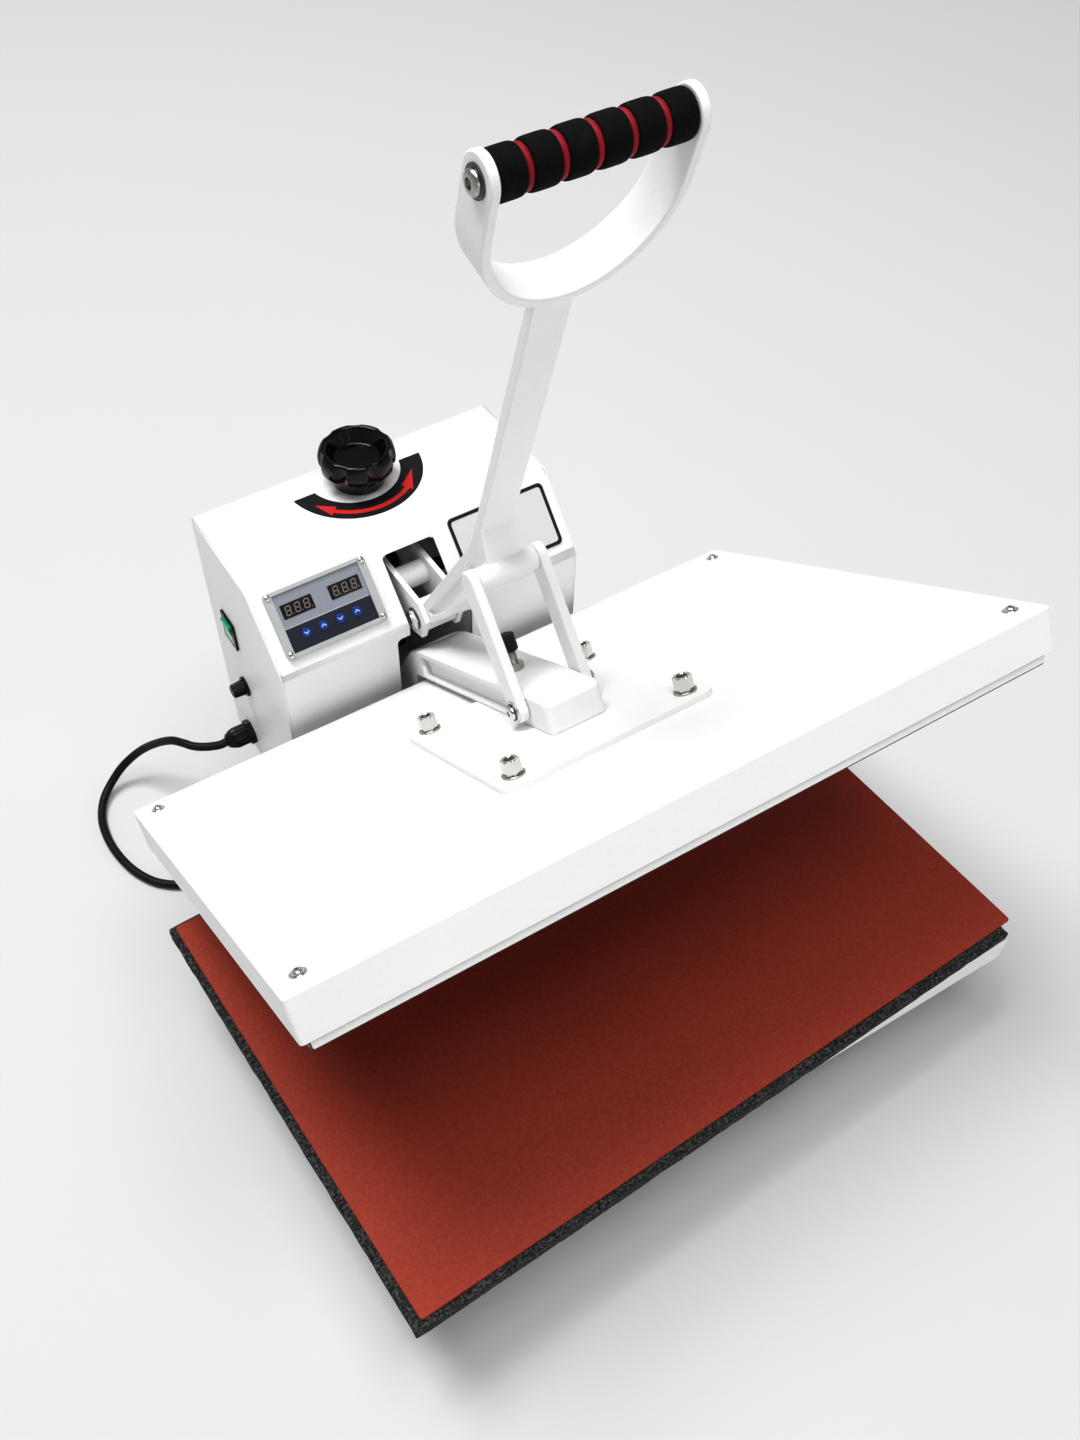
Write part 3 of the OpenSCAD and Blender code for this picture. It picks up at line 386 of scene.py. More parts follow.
def mouldedPlastic(name, light, dark, rough, shine=0.3, grainScale=1500, depth=0.00003):
    # moulded plastic or rubber: spark-eroded grain, slightly dusty in broad patches
    plastic = Finish(name, IOR=1.48, Specular_IOR_Level=shine)
    dust = plastic.noise(24, 4, 0.6)
    grainPits = plastic.noise(grainScale, 2, 0.6)
    plastic.into("Base Color", plastic.mix(dust.between(0.35, 0.75), dark, light))
    plastic.into("Roughness", rough + dust * 0.12)
    return plastic.relief(grainPits, depth, 0.5).material


def spongeFoam(name):
    # open sponge: dark cells of two sizes, pale flecks painted as highlights where torn fibres catch light
    foam = Finish(name, Specular_IOR_Level=0.1)
    cell = foam.cells(420)
    pores = foam.noise(620, 4, 0.7)
    fibreGlints = foam.noise(400, 5, 0.75).between(0.47, 0.63)
    tone = foam.mix(pores.between(0.32, 0.68), grey(0.004), (0.035, 0.035, 0.034))
    foam.into("Base Color", foam.mix(fibreGlints * 0.65, tone, (0.14, 0.14, 0.135)))
    foam.into("Roughness", 0.9 - pores * 0.1)
    return foam.relief(cell + pores * 0.8, 0.0011, 0.9).material


def siliconeSheet(name):
    # calendered silicone: brick red, matte with a faint cloth grain pressed in, lint specks and soft marks
    sheet = Finish(name, Specular_IOR_Level=0.18)
    broad = sheet.noise(5.5, 3, 0.55)
    fine = sheet.noise(1300, 2, 0.6)
    grain = sheet.noise(430, 3, 0.7)
    lint = sheet.noise(260, 2, 0.5).between(0.72, 0.8)
    tone = sheet.mix(broad.between(0.25, 0.75), (0.25, 0.028, 0.0135), (0.285, 0.034, 0.0165))
    pressed = grain.between(0.3, 0.72) * 0.55 + fine.between(0.2, 0.8) * 0.2
    tone = sheet.mix(pressed, tone, (0.40, 0.058, 0.033))
    sheet.into("Base Color", sheet.mix(lint * 0.25, tone, (0.45, 0.2, 0.17)))
    sheet.into("Roughness", 0.55 + broad * 0.14)
    return sheet.relief(fine * 0.5 + grain, 0.00012, 0.5).material


def gripFoam(name):
    # closed-cell grip foam: matt black skin with tiny pits
    foam = Finish(name, Specular_IOR_Level=0.07)
    pits = foam.noise(1500, 3, 0.65)
    dust = foam.noise(60, 3, 0.6)
    tone = foam.mix(pits.between(0.3, 0.75), grey(0.002), grey(0.008))
    foam.into("Base Color", foam.mix(dust.between(0.5, 0.8) * 0.2, tone, grey(0.03)))
    foam.into("Roughness", 0.78 + pits * 0.14)
    return foam.relief(pits, 0.00022, 0.7).material


fasciaPrint = {"bandTop": (0.0363, 0.0367), "ruleFoot": (0.0364, 0.0366), "ruleTop": (0.0370, 0.0372)}


def fasciaFilm(name):
    # printed panel film in the slope's own frame: pale grey field, charcoal key band below a thin pale line
    film = Finish(name, IOR=1.46, Specular_IOR_Level=0.45)
    along = film.node("ShaderNodeMapping", {"vector_type": "TEXTURE"}, {
        "Vector": film.place(),
        "Location": tuple(onStand(boxSlope["foot"])),
        "Rotation": (math.radians(boxSlope["lean"]), 0, 0),
    })
    up = film.node("ShaderNodeSeparateXYZ", None, {"Vector": along}, "Y")
    band = 1 - up.between(*fasciaPrint["bandTop"])
    rule = up.between(*fasciaPrint["ruleFoot"]) * (1 - up.between(*fasciaPrint["ruleTop"]))
    speckle = film.noise(900, 2, 0.5)
    field = film.mix(speckle.between(0.3, 0.7), (0.23, 0.255, 0.295), (0.255, 0.28, 0.32))
    tone = film.mix(band, field, (0.009, 0.012, 0.022))
    film.into("Base Color", film.mix(rule * 0.5, tone, (0.75, 0.78, 0.8)))
    film.into("Roughness", 0.38 + speckle * 0.1)
    return film.relief(speckle, 0.00002, 0.4).material


def smokedWindow(name):
    # tinted display window: near black, glossy, a little haze
    glass = Finish(name, IOR=1.49, Specular_IOR_Level=0.2)
    haze = glass.noise(70, 3, 0.6)
    tone = glass.mix(haze.between(0.3, 0.7), (0.010, 0.008, 0.008), (0.020, 0.016, 0.015))
    return glass.into("Base Color", tone).into("Roughness", 0.1 + haze * 0.08).material


def printedInk(name, light, dark, rough=0.45):
    # screen print: even ink with slight mottling
    ink = Finish(name, Specular_IOR_Level=0.16)
    mottle = ink.noise(1200, 3, 0.6)
    ink.into("Base Color", ink.mix(mottle.between(0.3, 0.7), dark, light))
    return ink.into("Roughness", rough + mottle * 0.1).material


def lensPlastic(name, light, dark, paintedGlow):
    # translucent switch lens with a faint painted glow in its own colour
    lens = Finish(name, IOR=1.49, Coat_Weight=0.4, Coat_Roughness=0.1, Emission_Strength=paintedGlow)
    cloud = lens.noise(260, 2, 0.5)
    tone = lens.mix(cloud.between(0.3, 0.7), dark, light)
    lens.into("Base Color", tone).into("Emission Color", tone)
    return lens.into("Roughness", 0.22 + cloud * 0.1).material


def woolBlanket(name):
    # pressed insulation wool: pale fibres lying across each other
    wool = Finish(name, Specular_IOR_Level=0.2)
    lying = wool.noise(240, 5, 0.75, stretch=(1, 0.15, 1))
    crossing = wool.noise(240, 5, 0.75, stretch=(0.15, 1, 1))
    fibre = lying * 0.5 + crossing * 0.5
    wool.into("Base Color", wool.mix(fibre.between(0.35, 0.65), (0.42, 0.37, 0.26), (0.66, 0.62, 0.5)))
    wool.into("Roughness", 0.85 + fibre * 0.1)
    return wool.relief(fibre, 0.0006, 0.8).material


def circuitBoard(name):
    # solder-masked board: green lacquer over faint tracks
    board = Finish(name, Coat_Weight=0.3, Coat_Roughness=0.2)
    tracks = board.cells(260, "DISTANCE_TO_EDGE").between(0.02, 0.06)
    board.into("Base Color", board.mix(tracks, (0.02, 0.11, 0.045), (0.012, 0.06, 0.025)))
    board.into("Roughness", 0.4 + tracks * 0.15)
    return board.relief(tracks, 0.00004, 0.5).material


finishes = {
    "white_paint": powderCoat("whitePowder", (0.83, 0.83, 0.82), (0.80, 0.805, 0.795)),
    "black_rubber": mouldedPlastic("blackRubber", grey(0.012), grey(0.006), 0.55, 0.2),
    "sponge_foam": spongeFoam("blackSponge"),
    "red_silicone": siliconeSheet("redSilicone"),
    "grip_foam": gripFoam("gripFoam"),
    "red_rubber": mouldedPlastic("redRubber", (0.30, 0.006, 0.016), (0.21, 0.004, 0.011), 0.5, 0.2),
    "bright_steel": plainMetal("brightSteel", (0.70, 0.69, 0.67), (0.64, 0.63, 0.61), 0.14),
    "dark_steel": plainMetal("darkSteel", (0.10, 0.098, 0.095), (0.07, 0.068, 0.066), 0.3),
    "silver_plastic": mouldedPlastic("silverBezel", (0.45, 0.46, 0.46), (0.41, 0.42, 0.42), 0.34, 0.5),
    "fascia_film": fasciaFilm("fasciaFilm"),
    "smoked_window": smokedWindow("smokedWindow"),
    "blue_plastic": mouldedPlastic("blueKey", (0.014, 0.046, 0.25), (0.010, 0.035, 0.2), 0.35),
    "circuit_board": circuitBoard("circuitBoard"),
    "grey_plate": printedInk("greyPlate", (0.64, 0.635, 0.63), (0.6, 0.595, 0.59), 0.4),
    "black_film": printedInk("blackFilm", grey(0.009), grey(0.006), 0.42),
    "black_plastic": mouldedPlastic("blackPlastic", grey(0.008), grey(0.004), 0.16, 0.14),
    # the green lens carries a faint painted glow
    "green_lens": lensPlastic("greenLens", (0.02, 0.36, 0.14), (0.01, 0.22, 0.08), 0.15),
    "cord_rubber": mouldedPlastic("cordRubber", grey(0.009), grey(0.005), 0.42, 0.14),
    "tie_plastic": mouldedPlastic("tieStrap", grey(0.03), grey(0.02), 0.5),
    "pin_brass": plainMetal("pinBrass", (0.78, 0.58, 0.28), (0.7, 0.5, 0.22), 0.2),
    "insulation_wool": woolBlanket("insulationWool"),
    "heater_steel": plainMetal("heaterSteel", (0.3, 0.27, 0.24), (0.22, 0.2, 0.18), 0.42),
    "platen_aluminium": plainMetal("platenAluminium", (0.86, 0.86, 0.85), (0.8, 0.8, 0.79), 0.34,
                                   (0.04, 1, 1), 600),
}
extras = {
    # painted light: a lighter copy of the white powder paint, for the strip that lies in the skirt's shade
    "paintedLightStrip": powderCoat("paintedLightStrip", (0.94, 0.935, 0.92), (0.91, 0.905, 0.89)),
    # painted shade: near-black inside faces of the box and of the cover's hollow, standing in for the shade
    # in there
    "paintedShadeInside": mouldedPlastic("paintedShadeInside", (0.035, 0.035, 0.036), (0.02, 0.02, 0.021), 0.6, 0.1),
    "dullSteel": plainMetal("dullSteel", (0.42, 0.40, 0.37), (0.36, 0.345, 0.32), 0.22),
    "redArrow": printedInk("redArrow", (0.55, 0.02, 0.02), (0.48, 0.015, 0.015)),
    "blackBorder": printedInk("blackBorder", grey(0.012), grey(0.008)),
    "unlitDigit": printedInk("unlitDigit", (0.20, 0.19, 0.18), (0.16, 0.15, 0.145), 0.3),
    "darkCoat": mouldedPlastic("darkCoat", (0.03, 0.022, 0.017), (0.018, 0.013, 0.010), 0.34, 0.3,
                               700, 0.00004),
    "glossKnob": mouldedPlastic("glossKnob", (0.003, 0.003, 0.0028), grey(0.0015), 0.07, 0.24,
                                1500, 0.00001),
    "paleMark": printedInk("paleMark", (0.42, 0.62, 0.92), (0.36, 0.55, 0.86), 0.35),
}
for nodeName, node in nodes.items():  # every solid gets its finish, also those inside
    node.data.materials.clear()
    node.data.materials.append(finishes[slotOf[nodeName]])
print("finishes made:", len(finishes) + len(extras))

# Copies of the solids with their edges rounded as bent sheet, castings and bar stock are
roundings = {
    "box_shell": 0.4, "box_end_left": 0.4, "box_end_right": 0.4, "box_back": 0.5,
    "press_arm": 1.6, "mount_plate": 0.8, "toggle_links": 1.4, "lever_bar": 1.2, "handle_strap": 1.3,
    "pressure_yoke": 1.0, "lower_platen": 1.2, "base_frame": 2.0, "deck_plate": 0.8, "hinge_cheeks": 1.0,
    "panel_bezel": 0.7, "panel_fascia": 0.3, "display_windows": 0.15, "plain_plate": 0.2, "heat_platen": 0.8,
    "box_screws": 0.3, "bumper_cap": 1.2, "rubber_feet": 1.5,
    "switch_housing": 0.6, "power_rocker": 0.6,
    "temp_down_button": 0.5, "temp_up_button": 0.5, "time_down_button": 0.5, "time_up_button": 0.5,
    "power_plug": 2.0, "cord_tie": 0.5, "plug_pins": 0.4, "pressure_scale": 0.1,
}
roundedBy = {"merge": 2e-6, "flat": 0.4, "sharp": 35, "segments": 3, "fineSegments": 6}
armNose = {"front": 161, "low": 8, "corner": 6, "browFront": 164, "brow": 27, "browCorner": 3.5,
           "half": 24, "bores": 165}
boxShape = {"half": 150, "back": 322.478, "top": (214.478, 328), "slotTop": (203.27, 316.58), "slotHalf": 25,
            "seams": 147.5, "rims": 149.5, "skin": 1.1, "reach": 3.2, "slack": 0.3,
            "rimBend": 1.5, "foldBend": 6, "slotBend": 5}
platenGrooves = -33.5  # as the w of the cover's frame


def armEdges(middle, plain):  # the upright edges of the nose are rounder than the rest, the bores stay sharp
    x, u, w = np.moveaxis(intoCover(middle), -1, 0)
    nose = (u < armNose["front"]) & (w > armNose["low"]) & (w < armNose["brow"])
    brow = (u < armNose["browFront"]) & (w >= armNose["brow"]) & (np.abs(x) > armNose["half"])
    bore = (np.abs(x) < armNose["half"]) & (u > armNose["bores"])
    widths = np.where(brow, armNose["browCorner"], np.where(bore, 0, plain))
    return np.where(nose, armNose["corner"], widths)


def boxDepth(place):  # how far inside the box's outer faces a point lies, in millimetres
    x, y, z = np.moveaxis(place / mm, -1, 0)
    c, s = polar(1, boxSlope["lean"])
    fromFront, fromFoot = y - boxSlope["foot"][1], z - boxSlope["foot"][2]
    toSide, toBack, toTop = boxShape["half"] - np.abs(x), boxShape["back"] - y, boxShape["top"][1] - z
    return np.min([fromFront, toBack, toTop, fromFront * s - fromFoot * c, toSide], axis=0)


def boxEdges(middle, plain):  # wide folds, soft outer rims, sharp seams and inner edges
    x, y, z = np.moveaxis(middle / mm, -1, 0)
    folds = (boxSlope["foot"][1:], boxShape["top"], boxShape["slotTop"])
    nearFoot, nearTop, nearSlotTop = [np.hypot(y - a, z - b) < boxShape["reach"] for a, b in folds]
    atSlot = np.abs(np.abs(x) - boxShape["slotHalf"]) < boxShape["slack"]
    widths = np.where(np.abs(x) > boxShape["seams"], 0, plain)
    widths = np.where(np.abs(x) > boxShape["rims"], boxShape["rimBend"], widths)
    widths = np.where(boxDepth(middle) > boxShape["skin"], 0, widths)
    widths = np.where(atSlot & nearSlotTop, boxShape["slotBend"], widths)
    return np.where((nearFoot | nearTop) & ~atSlot, boxShape["foldBend"], widths)


# the box's inside faces, which take the painted shade
def insideBox(middle, normal):
    return boxDepth(middle) > boxShape["skin"]


def platenSkin(middle, normal):  # the underside and the edges of the heat platen, below its grooves
    return intoCover(middle)[:, 2] < platenGrooves


boxWalls = ("box_shell", "box_end_left", "box_end_right", "box_back")
edgeWidths = {"press_arm": armEdges, **{wall: boxEdges for wall in boxWalls[:3]}}
# the inside faces of the box walls take the painted shade, and the heat platen's underside takes its dark
# coat
secondFinish = {wall: ("paintedShadeInside", insideBox) for wall in boxWalls}
secondFinish["heat_platen"] = ("darkCoat", platenSkin)


def takeSecond(mesh, finishName, chosen):  # faces that are chosen by their middles and normals
    mesh.materials.append(extras[finishName])
    middles = np.array([list(face.center) for face in mesh.polygons])
    normals = np.array([list(face.normal) for face in mesh.polygons])
    mesh.polygons.foreach_set("material_index", chosen(middles, normals).astype(np.int32))


def roundedCopy(nodeName, width):
    mesh = nodes[nodeName].data.copy()
    shape = bmesh.new()
    shape.from_mesh(mesh)
    bmesh.ops.remove_doubles(shape, verts=shape.verts, dist=roundedBy["merge"])
    flatTurn = math.radians(roundedBy["flat"])
    bmesh.ops.dissolve_limit(shape, angle_limit=flatTurn, verts=shape.verts, edges=shape.edges)
    ends = np.array([[list(vert.co) for vert in edge.verts] for edge in shape.edges])
    turns = np.array([edge.calc_face_angle(0) for edge in shape.edges])
    shape.to_mesh(mesh)
    shape.free()
    slot = slotOf[nodeName]
    piece = placed(nodeName + "Round", mesh, finishes[slot], bodyOf[nodeName], (nodeName,), 0)
    chosen = edgeWidths.get(nodeName)
    widths = chosen(ends.mean(1), width) if chosen else np.full(len(ends), float(width))
    share = np.where(turns > math.radians(roundedBy["sharp"]), widths, 0) / widths.max()
    mesh.attributes.new("bevel_weight_edge", "FLOAT", "EDGE").data.foreach_set("value", share)
    if nodeName in secondFinish:
        takeSecond(mesh, *secondFinish[nodeName])
    bevel = piece.modifiers.new("edges", "BEVEL")
    bevel.width = widths.max() * mm
    bevel.segments = roundedBy["fineSegments" if chosen else "segments"]
    bevel.limit_method = "WEIGHT"
    bevel.use_clamp_overlap = not chosen
    weighNormals(piece, False)
    return piece


rounded = {nodeName: roundedCopy(nodeName, width) for nodeName, width in roundings.items()}
print("edges rounded on", len(rounded), "pieces")

# The lead: one tube for the free stretch, the coil and the tail
leadRows = tubeAlong(cordPath, cordLay["diameter"] / 2, cordLay["sides"]) * mm
powerLead = fitted("powerLead", [leadRows], "stand", "cord_rubber", ("power_cord", "cord_coil"), sharp=0)
print("lead made")

# Top cover: rings from the middle of its top over the soft edge, down the skirt and back inside
cover = {"size": (608, 412), "corner": 3, "edge": 1.6, "skirt": 34, "sheet": 1.5, "lip": 0.3, "deep": 120,
         "heart": (0, 206, -60), "heartUnder": 59, "inwards": -8}


def coverSteps():  # (inset, height) of each ring
    edge, sheet, lip, low, deep = cover["edge"], cover["sheet"], cover["lip"], -cover["skirt"], cover["deep"]
    bends = np.linspace(0, np.pi / 2, 7)
    over = [(edge * (1 - math.sin(bend)), edge * (math.cos(bend) - 1)) for bend in bends]
    hem = [(0, low + lip), (lip, low), (sheet - lip, low), (sheet, low + lip)]
    return [(deep, 0)] + over + hem + [(sheet, -sheet), (deep, -sheet)]


# these faces take the painted shade, which darkens the gap round the heat platen
def insideCover(middle, normal):  # faces of the skirt and the top that look towards a point in the hollow
    fromHeart = intoCover(middle) - cover["heart"]
    outwards = (fromHeart * turnedX(normal, armHinge["open"])).sum(1)
    return (fromHeart[:, 2] < cover["heartUnder"]) & (outwards < cover["inwards"])


coverRows = insetRings(cover["size"], cover["corner"], coverSteps()) + (0, cover["size"][1] / 2, 0)
coverSheet = fitted("coverSheet", [onCover(coverRows)], "platen_arm", "white_paint", ("top_cover",), sharp=50)
# the cover's inner faces take the painted shade
takeSecond(coverSheet.data, "paintedShadeInside", insideCover)

# Strip on the front edge of the heat platen, its white painted lighter to make up for the skirt's shade: an
# upright rounded rectangle carried a little way forwards
strip = {"size": (594, 11.6), "corner": 1.2, "middle": -36.4, "insets": (0, 0, 0.3), "fronts": (6, 4.7, 4.4)}
stripSteps = zip(strip["insets"], strip["fronts"])
stripRows = insetRings(strip["size"], strip["corner"], stripSteps)[..., [0, 2, 1]] + (0, 0, strip["middle"])
fitted("platenStrip", [onCover(stripRows)], "platen_arm", "white_paint", (), extras["paintedLightStrip"], 50)
print("cover made")

# Pads: rings from the middle of the underside out, up the edge, and in again over the top
pads = {
    "foam_pad": {"name": "spongePad", "size": (601.4, 409.5), "centre": (-8.7, -106.5), "yaw": 2.45,
                 "low": 108, "high": 117, "corner": 1.6, "edge": 0.9, "ragged": 0.8, "reach": 5,
                 "droop": 5, "fill": 0.06},
    "silicone_pad": {"name": "siliconeSheet", "size": (602.6, 400), "centre": (-1.3, -103.584), "yaw": 2.75,
                     "low": 117, "high": 120, "corner": 2.5, "edge": 0.6, "ragged": 0.15, "reach": 40,
                     "droop": 0, "fill": 1.0},
}
padRings = {"deep": (190, 60), "shoulder": 8, "spacing": 4, "seed": 11}
padCarrier = {"half": (299.5, 196), "middle": (2, -103.522), "full": 20}  # the lower platen under the pads


def padSteps(pad):  # (inset, height) of each ring, with a quarter round at the lower and the upper edge
    edge, low, high = pad["edge"], pad["low"], pad["high"]
    bend = np.linspace(0, np.pi / 2, 5)[1:-1]
    rise, fall = edge * (1 - np.sin(bend)), edge * (1 - np.cos(bend))
    deep, side = padRings["deep"], np.linspace(low + edge, high - edge, 4)
    insets = [*deep, edge, *rise, 0, 0, 0, 0, *rise[::-1], edge, padRings["shoulder"], *deep[::-1]]
    heights = [low, low, low, *(low + fall), *side, *(high - fall[::-1]), high, high, high, high]
    return np.array(insets), np.array(heights)


def padLine(pad):  # the outline in even steps
    outline = roundedRectangle(*pad["size"], pad["corner"])
    gaps = np.linalg.norm(np.roll(outline, -1, 0) - outline, axis=1)
    counts = [max(1, round(gap / padRings["spacing"])) for gap in gaps]
    steps = np.concatenate([np.linspace(0, 1, count, endpoint=False) + i for i, count in enumerate(counts)])
    closed = np.vstack([outline, outline[:1]])
    return np.stack([np.interp(steps, np.arange(len(closed)), closed[:, k]) for k in (0, 1)], -1)


def padRows(pad):
    # each ring is inset from the outline; on the edge the inset wavers by smoothed chance, always inwards;
    # past the platen's edge the underside sinks in step with the overhang
    insets, heights = padSteps(pad)
    line = padLine(pad)
    chance = np.random.default_rng(padRings["seed"]).normal(size=(len(insets), len(line)))
    waves = np.fft.fftfreq(len(line)) * 2 * np.pi * pad["reach"] / padRings["spacing"]
    waver = np.real(np.fft.ifft(np.fft.fft(chance, axis=1) * np.exp(-0.5 * waves ** 2), axis=1))
    waver = pad["ragged"] * (0.5 + 0.5 * np.tanh(waver / waver.std()))
    inset = insets[:, None] + np.where(insets[:, None] < padRings["shoulder"], waver, 0)
    flat = line[None] * (1 - inset[..., None] / (np.array(pad["size"]) / 2))
    c, s = polar(1, pad["yaw"])
    flat = flat @ np.array([[c, s], [-s, c]]) + pad["centre"]
    past = np.max(np.abs(flat - padCarrier["middle"]) - padCarrier["half"], axis=-1)
    share = ((pad["high"] - heights) / (pad["high"] - pad["low"]))[:, None]
    sink = pad["droop"] * np.clip(past / padCarrier["full"], 0, 1) * share
    return np.concatenate([flat, (heights[:, None] - sink)[..., None]], -1)


for nodeName, pad in pads.items():
    padPiece = fitted(pad["name"], [onStand(padRows(pad))], "stand", slotOf[nodeName], (nodeName,), sharp=50)
print("pads made")

# Foam grip: six segments, each a squared-off bulge between grooves, and a red ring in every groove
grip = {"half": 60.2, "radius": 13.4, "groove": 10.9, "power": 4.5, "around": 64, "fill": 0.12, "rings": 5,
        "ring": 12.1, "ringWidth": 4, "ringGap": 0.1, "ringSeat": 0.05, "ringPower": 0.6}
gripPitch = (2 * grip["half"] + grip["ringWidth"]) / (grip["rings"] + 1)


def gripProfile():
    # over a segment s runs from -1 to 1 and the radius is groove + rise * (1 - |s|^power)^(1/power)
    s = np.sin(np.linspace(-np.pi / 2, np.pi / 2, 27))
    rise = (1 - np.abs(s) ** grip["power"]) ** (1 / grip["power"])
    middles = (np.arange(grip["rings"] + 1) - grip["rings"] / 2) * gripPitch
    along = middles[:, None] + s * (gripPitch - grip["ringWidth"]) / 2
    radius = grip["groove"] + (grip["radius"] - grip["groove"]) * np.broadcast_to(rise, along.shape)
    return np.stack([radius.ravel(), along.ravel()], -1)


def gripRing(middle):  # a half round seated in the groove, closed back to its first row
    bend = np.linspace(0, np.pi, 9)
    rise = (grip["ring"] - grip["groove"]) * np.sin(bend) ** grip["ringPower"]
    radius = grip["groove"] + grip["ringSeat"] + rise
    along = middle - np.cos(bend) * (grip["ringWidth"] / 2 - grip["ringGap"])
    profile = np.stack([radius, along], -1)
    return np.vstack([profile, profile[:1]])


gripRows = sideways(turned(gripProfile(), grip["around"]), 1)
foamGrip = fitted("foamGrip", [onGrip(gripRows)], "lever", "grip_foam", ("foam_grip",), sharp=60)
ringMiddles = (np.arange(grip["rings"]) - grip["rings"] // 2) * gripPitch
ringRows = [sideways(turned(gripRing(middle), grip["around"]), 1) for middle in ringMiddles]
fitted("redRings", [onGrip(rows) for rows in ringRows], "lever", "red_rubber", ("grip_rings",), sharp=60,
       capEnds=False)
print("grip made")

# Pressure knob: seven lobes between round scallops, a cone under the flange and a dished top
knob = {
    "centre": (0, 290.478, 329), "radius": 34.5, "lobes": 7, "turn": 12, "around": 252,
    "scallopAt": 38.64, "scallopRadius": 7.59, "outside": 60, "soften": 1.4,
    "profile": [
        (5, 0, 0), (23, 0, 0), (23.8, 0.6, 0), (26.2, 12, 0.1), (27.8, 14.6, 0.3), (31.6, 15.6, 0.9),
        (33.2, 16.8, 1), (34, 19, 1), (34.5, 23.5, 1), (34.3, 28, 1), (33.7, 30.8, 0.9), (32.6, 33.2, 0.6),
        (31.2, 34.8, 0.35), (29.6, 35.5, 0.2), (28.2, 35.5, 0.1), (27, 34.8, 0), (26, 33.4, 0),
        (20.6, 24.6, 0), (19.6, 23.5, 0), (18, 23, 0), (9, 23, 0), (0.5, 23, 0),
    ],
}


def knobRows():
    # each row of the profile is (radius, height, share of the scallops);
    # the scallop's near side and the round wall blend by a soft minimum
    radius, height, share = np.array(knob["profile"], float).T[:, :, None]
    angle = anglesRound(knob["around"])
    pitch = 2 * np.pi / knob["lobes"]
    fold = (angle - math.radians(knob["turn"]) + pitch / 2) % pitch - pitch / 2
    inside = np.maximum(knob["scallopRadius"] ** 2 - (knob["scallopAt"] * np.sin(fold)) ** 2, 0)
    near = np.where(inside > 0, knob["scallopAt"] * np.cos(fold) - np.sqrt(inside), knob["outside"])
    soften = knob["soften"]
    wall = -np.log(np.exp(-near * soften) + np.exp(-knob["radius"] * soften)) / soften
    spread = radius - share * (knob["radius"] - np.minimum(wall, knob["radius"]))
    return spun(spread, height, angle) + knob["centre"]


fitted("lobedKnob", [onStand(knobRows())], "pressure_set", "black_plastic", ("pressure_knob",),
       extras["glossKnob"], sharp=50)
print("knob made")


# Fasteners: nuts, washers and heads as turned profiles
def hexagonRows(flats, low, high, chamfers, ends=(0.98, 0.98)):  # a nut's outside, corners cut at both ends
    half, corner = flats / 2, flats * 0.58
    return [(half, half * ends[0], low), (half, corner, low + chamfers[0]),
            (half, corner, high - chamfers[1]), (half, half * ends[1], high)]


def washerRows(bore, radius, low, high, chamfer=0.3):
    return [(bore, low), (radius, low), (radius, high - chamfer), (radius - chamfer, high), (bore, high)]


def raised(height, profile):
    return [(*row[:-1], row[-1] + height) for row in profile]


def atCorners(part, onto, *profiles):  # turned profiles at each of the part's four corners
    grids = [turned(profile, part["around"]) for profile in profiles]
    return [onto(rows + (x, y, 0)) for x in part["x"] for y in part["y"] for rows in grids]


def mirrored(part, profile, onto):  # the same turned profile to the right and to the left of the middle
    return [onto(sideways(turned(part[profile]), way) + (0, *part["place"])) for way in (-1, 1)]


nut = {
    "x": (-75, 75), "y": (130, 279), "around": 72,
    "nut": [(4, 6.6), *hexagonRows(13, 6.6, 18.1, (0.7, 0.9), (0.98, 0.99)), (4.8, 18.1), (4.3, 17.6),
            (4.3, 13.1)],
    "washer": washerRows(4, 9, 5, 6.6),
    "stud": [(4, -30), (4, 12.6), (3.4, 13.1)],
}
washersAndStuds = atCorners(nut, onCover, nut["washer"], nut["stud"])
fitted("mountNuts", atCorners(nut, onCover, nut["nut"]), "platen_arm", "bright_steel", ("mount_nuts",))
fitted("mountWashers", washersAndStuds, "platen_arm", "dark_steel", finish=extras["dullSteel"])

screw = {
    "x": (-286, 286), "y": (20, 390), "around": 48,
    "head": [(2, -30), (2, 0), (6, 0), (6, 0.7), (5.7, 1), (4.2, 1), (4.2, 1.8), (3.7, 2.7), (2.8, 3.25),
             (1.9, 3.4), (1.3, 1.5, 3.4), (1.2, 1.4, 1.8)],
}
coverScrews = atCorners(screw, onCover, screw["head"])
fitted("coverScrews", coverScrews, "platen_arm", "bright_steel", ("cover_screws",))

linkBolt = {
    "place": (198, 21),
    "bolt": [(4, 9.6), *raised(34.9, [(4, 0), (5.7, 0), (5.7, 1.2), (5.5, 2), (4.9, 2.8), (4, 3.3),
                                      (3.1, 3.4), (2.3, 2.65, 3.4), (2.3, 2.65, 1.2)])],
    "washer": washerRows(4.2, 8.5, 33.3, 34.9, 0.4),
    "ring": washerRows(4.2, 7, 34.8, 35.6, 0.2),
}
fitted("linkBolts", mirrored(linkBolt, "bolt", onCover), "platen_arm", "bright_steel", ("link_bolts",))
fitted("linkWashers", mirrored(linkBolt, "washer", onCover), "platen_arm", "bright_steel")
fitted("linkRings", mirrored(linkBolt, "ring", onCover), "platen_arm", "dark_steel")

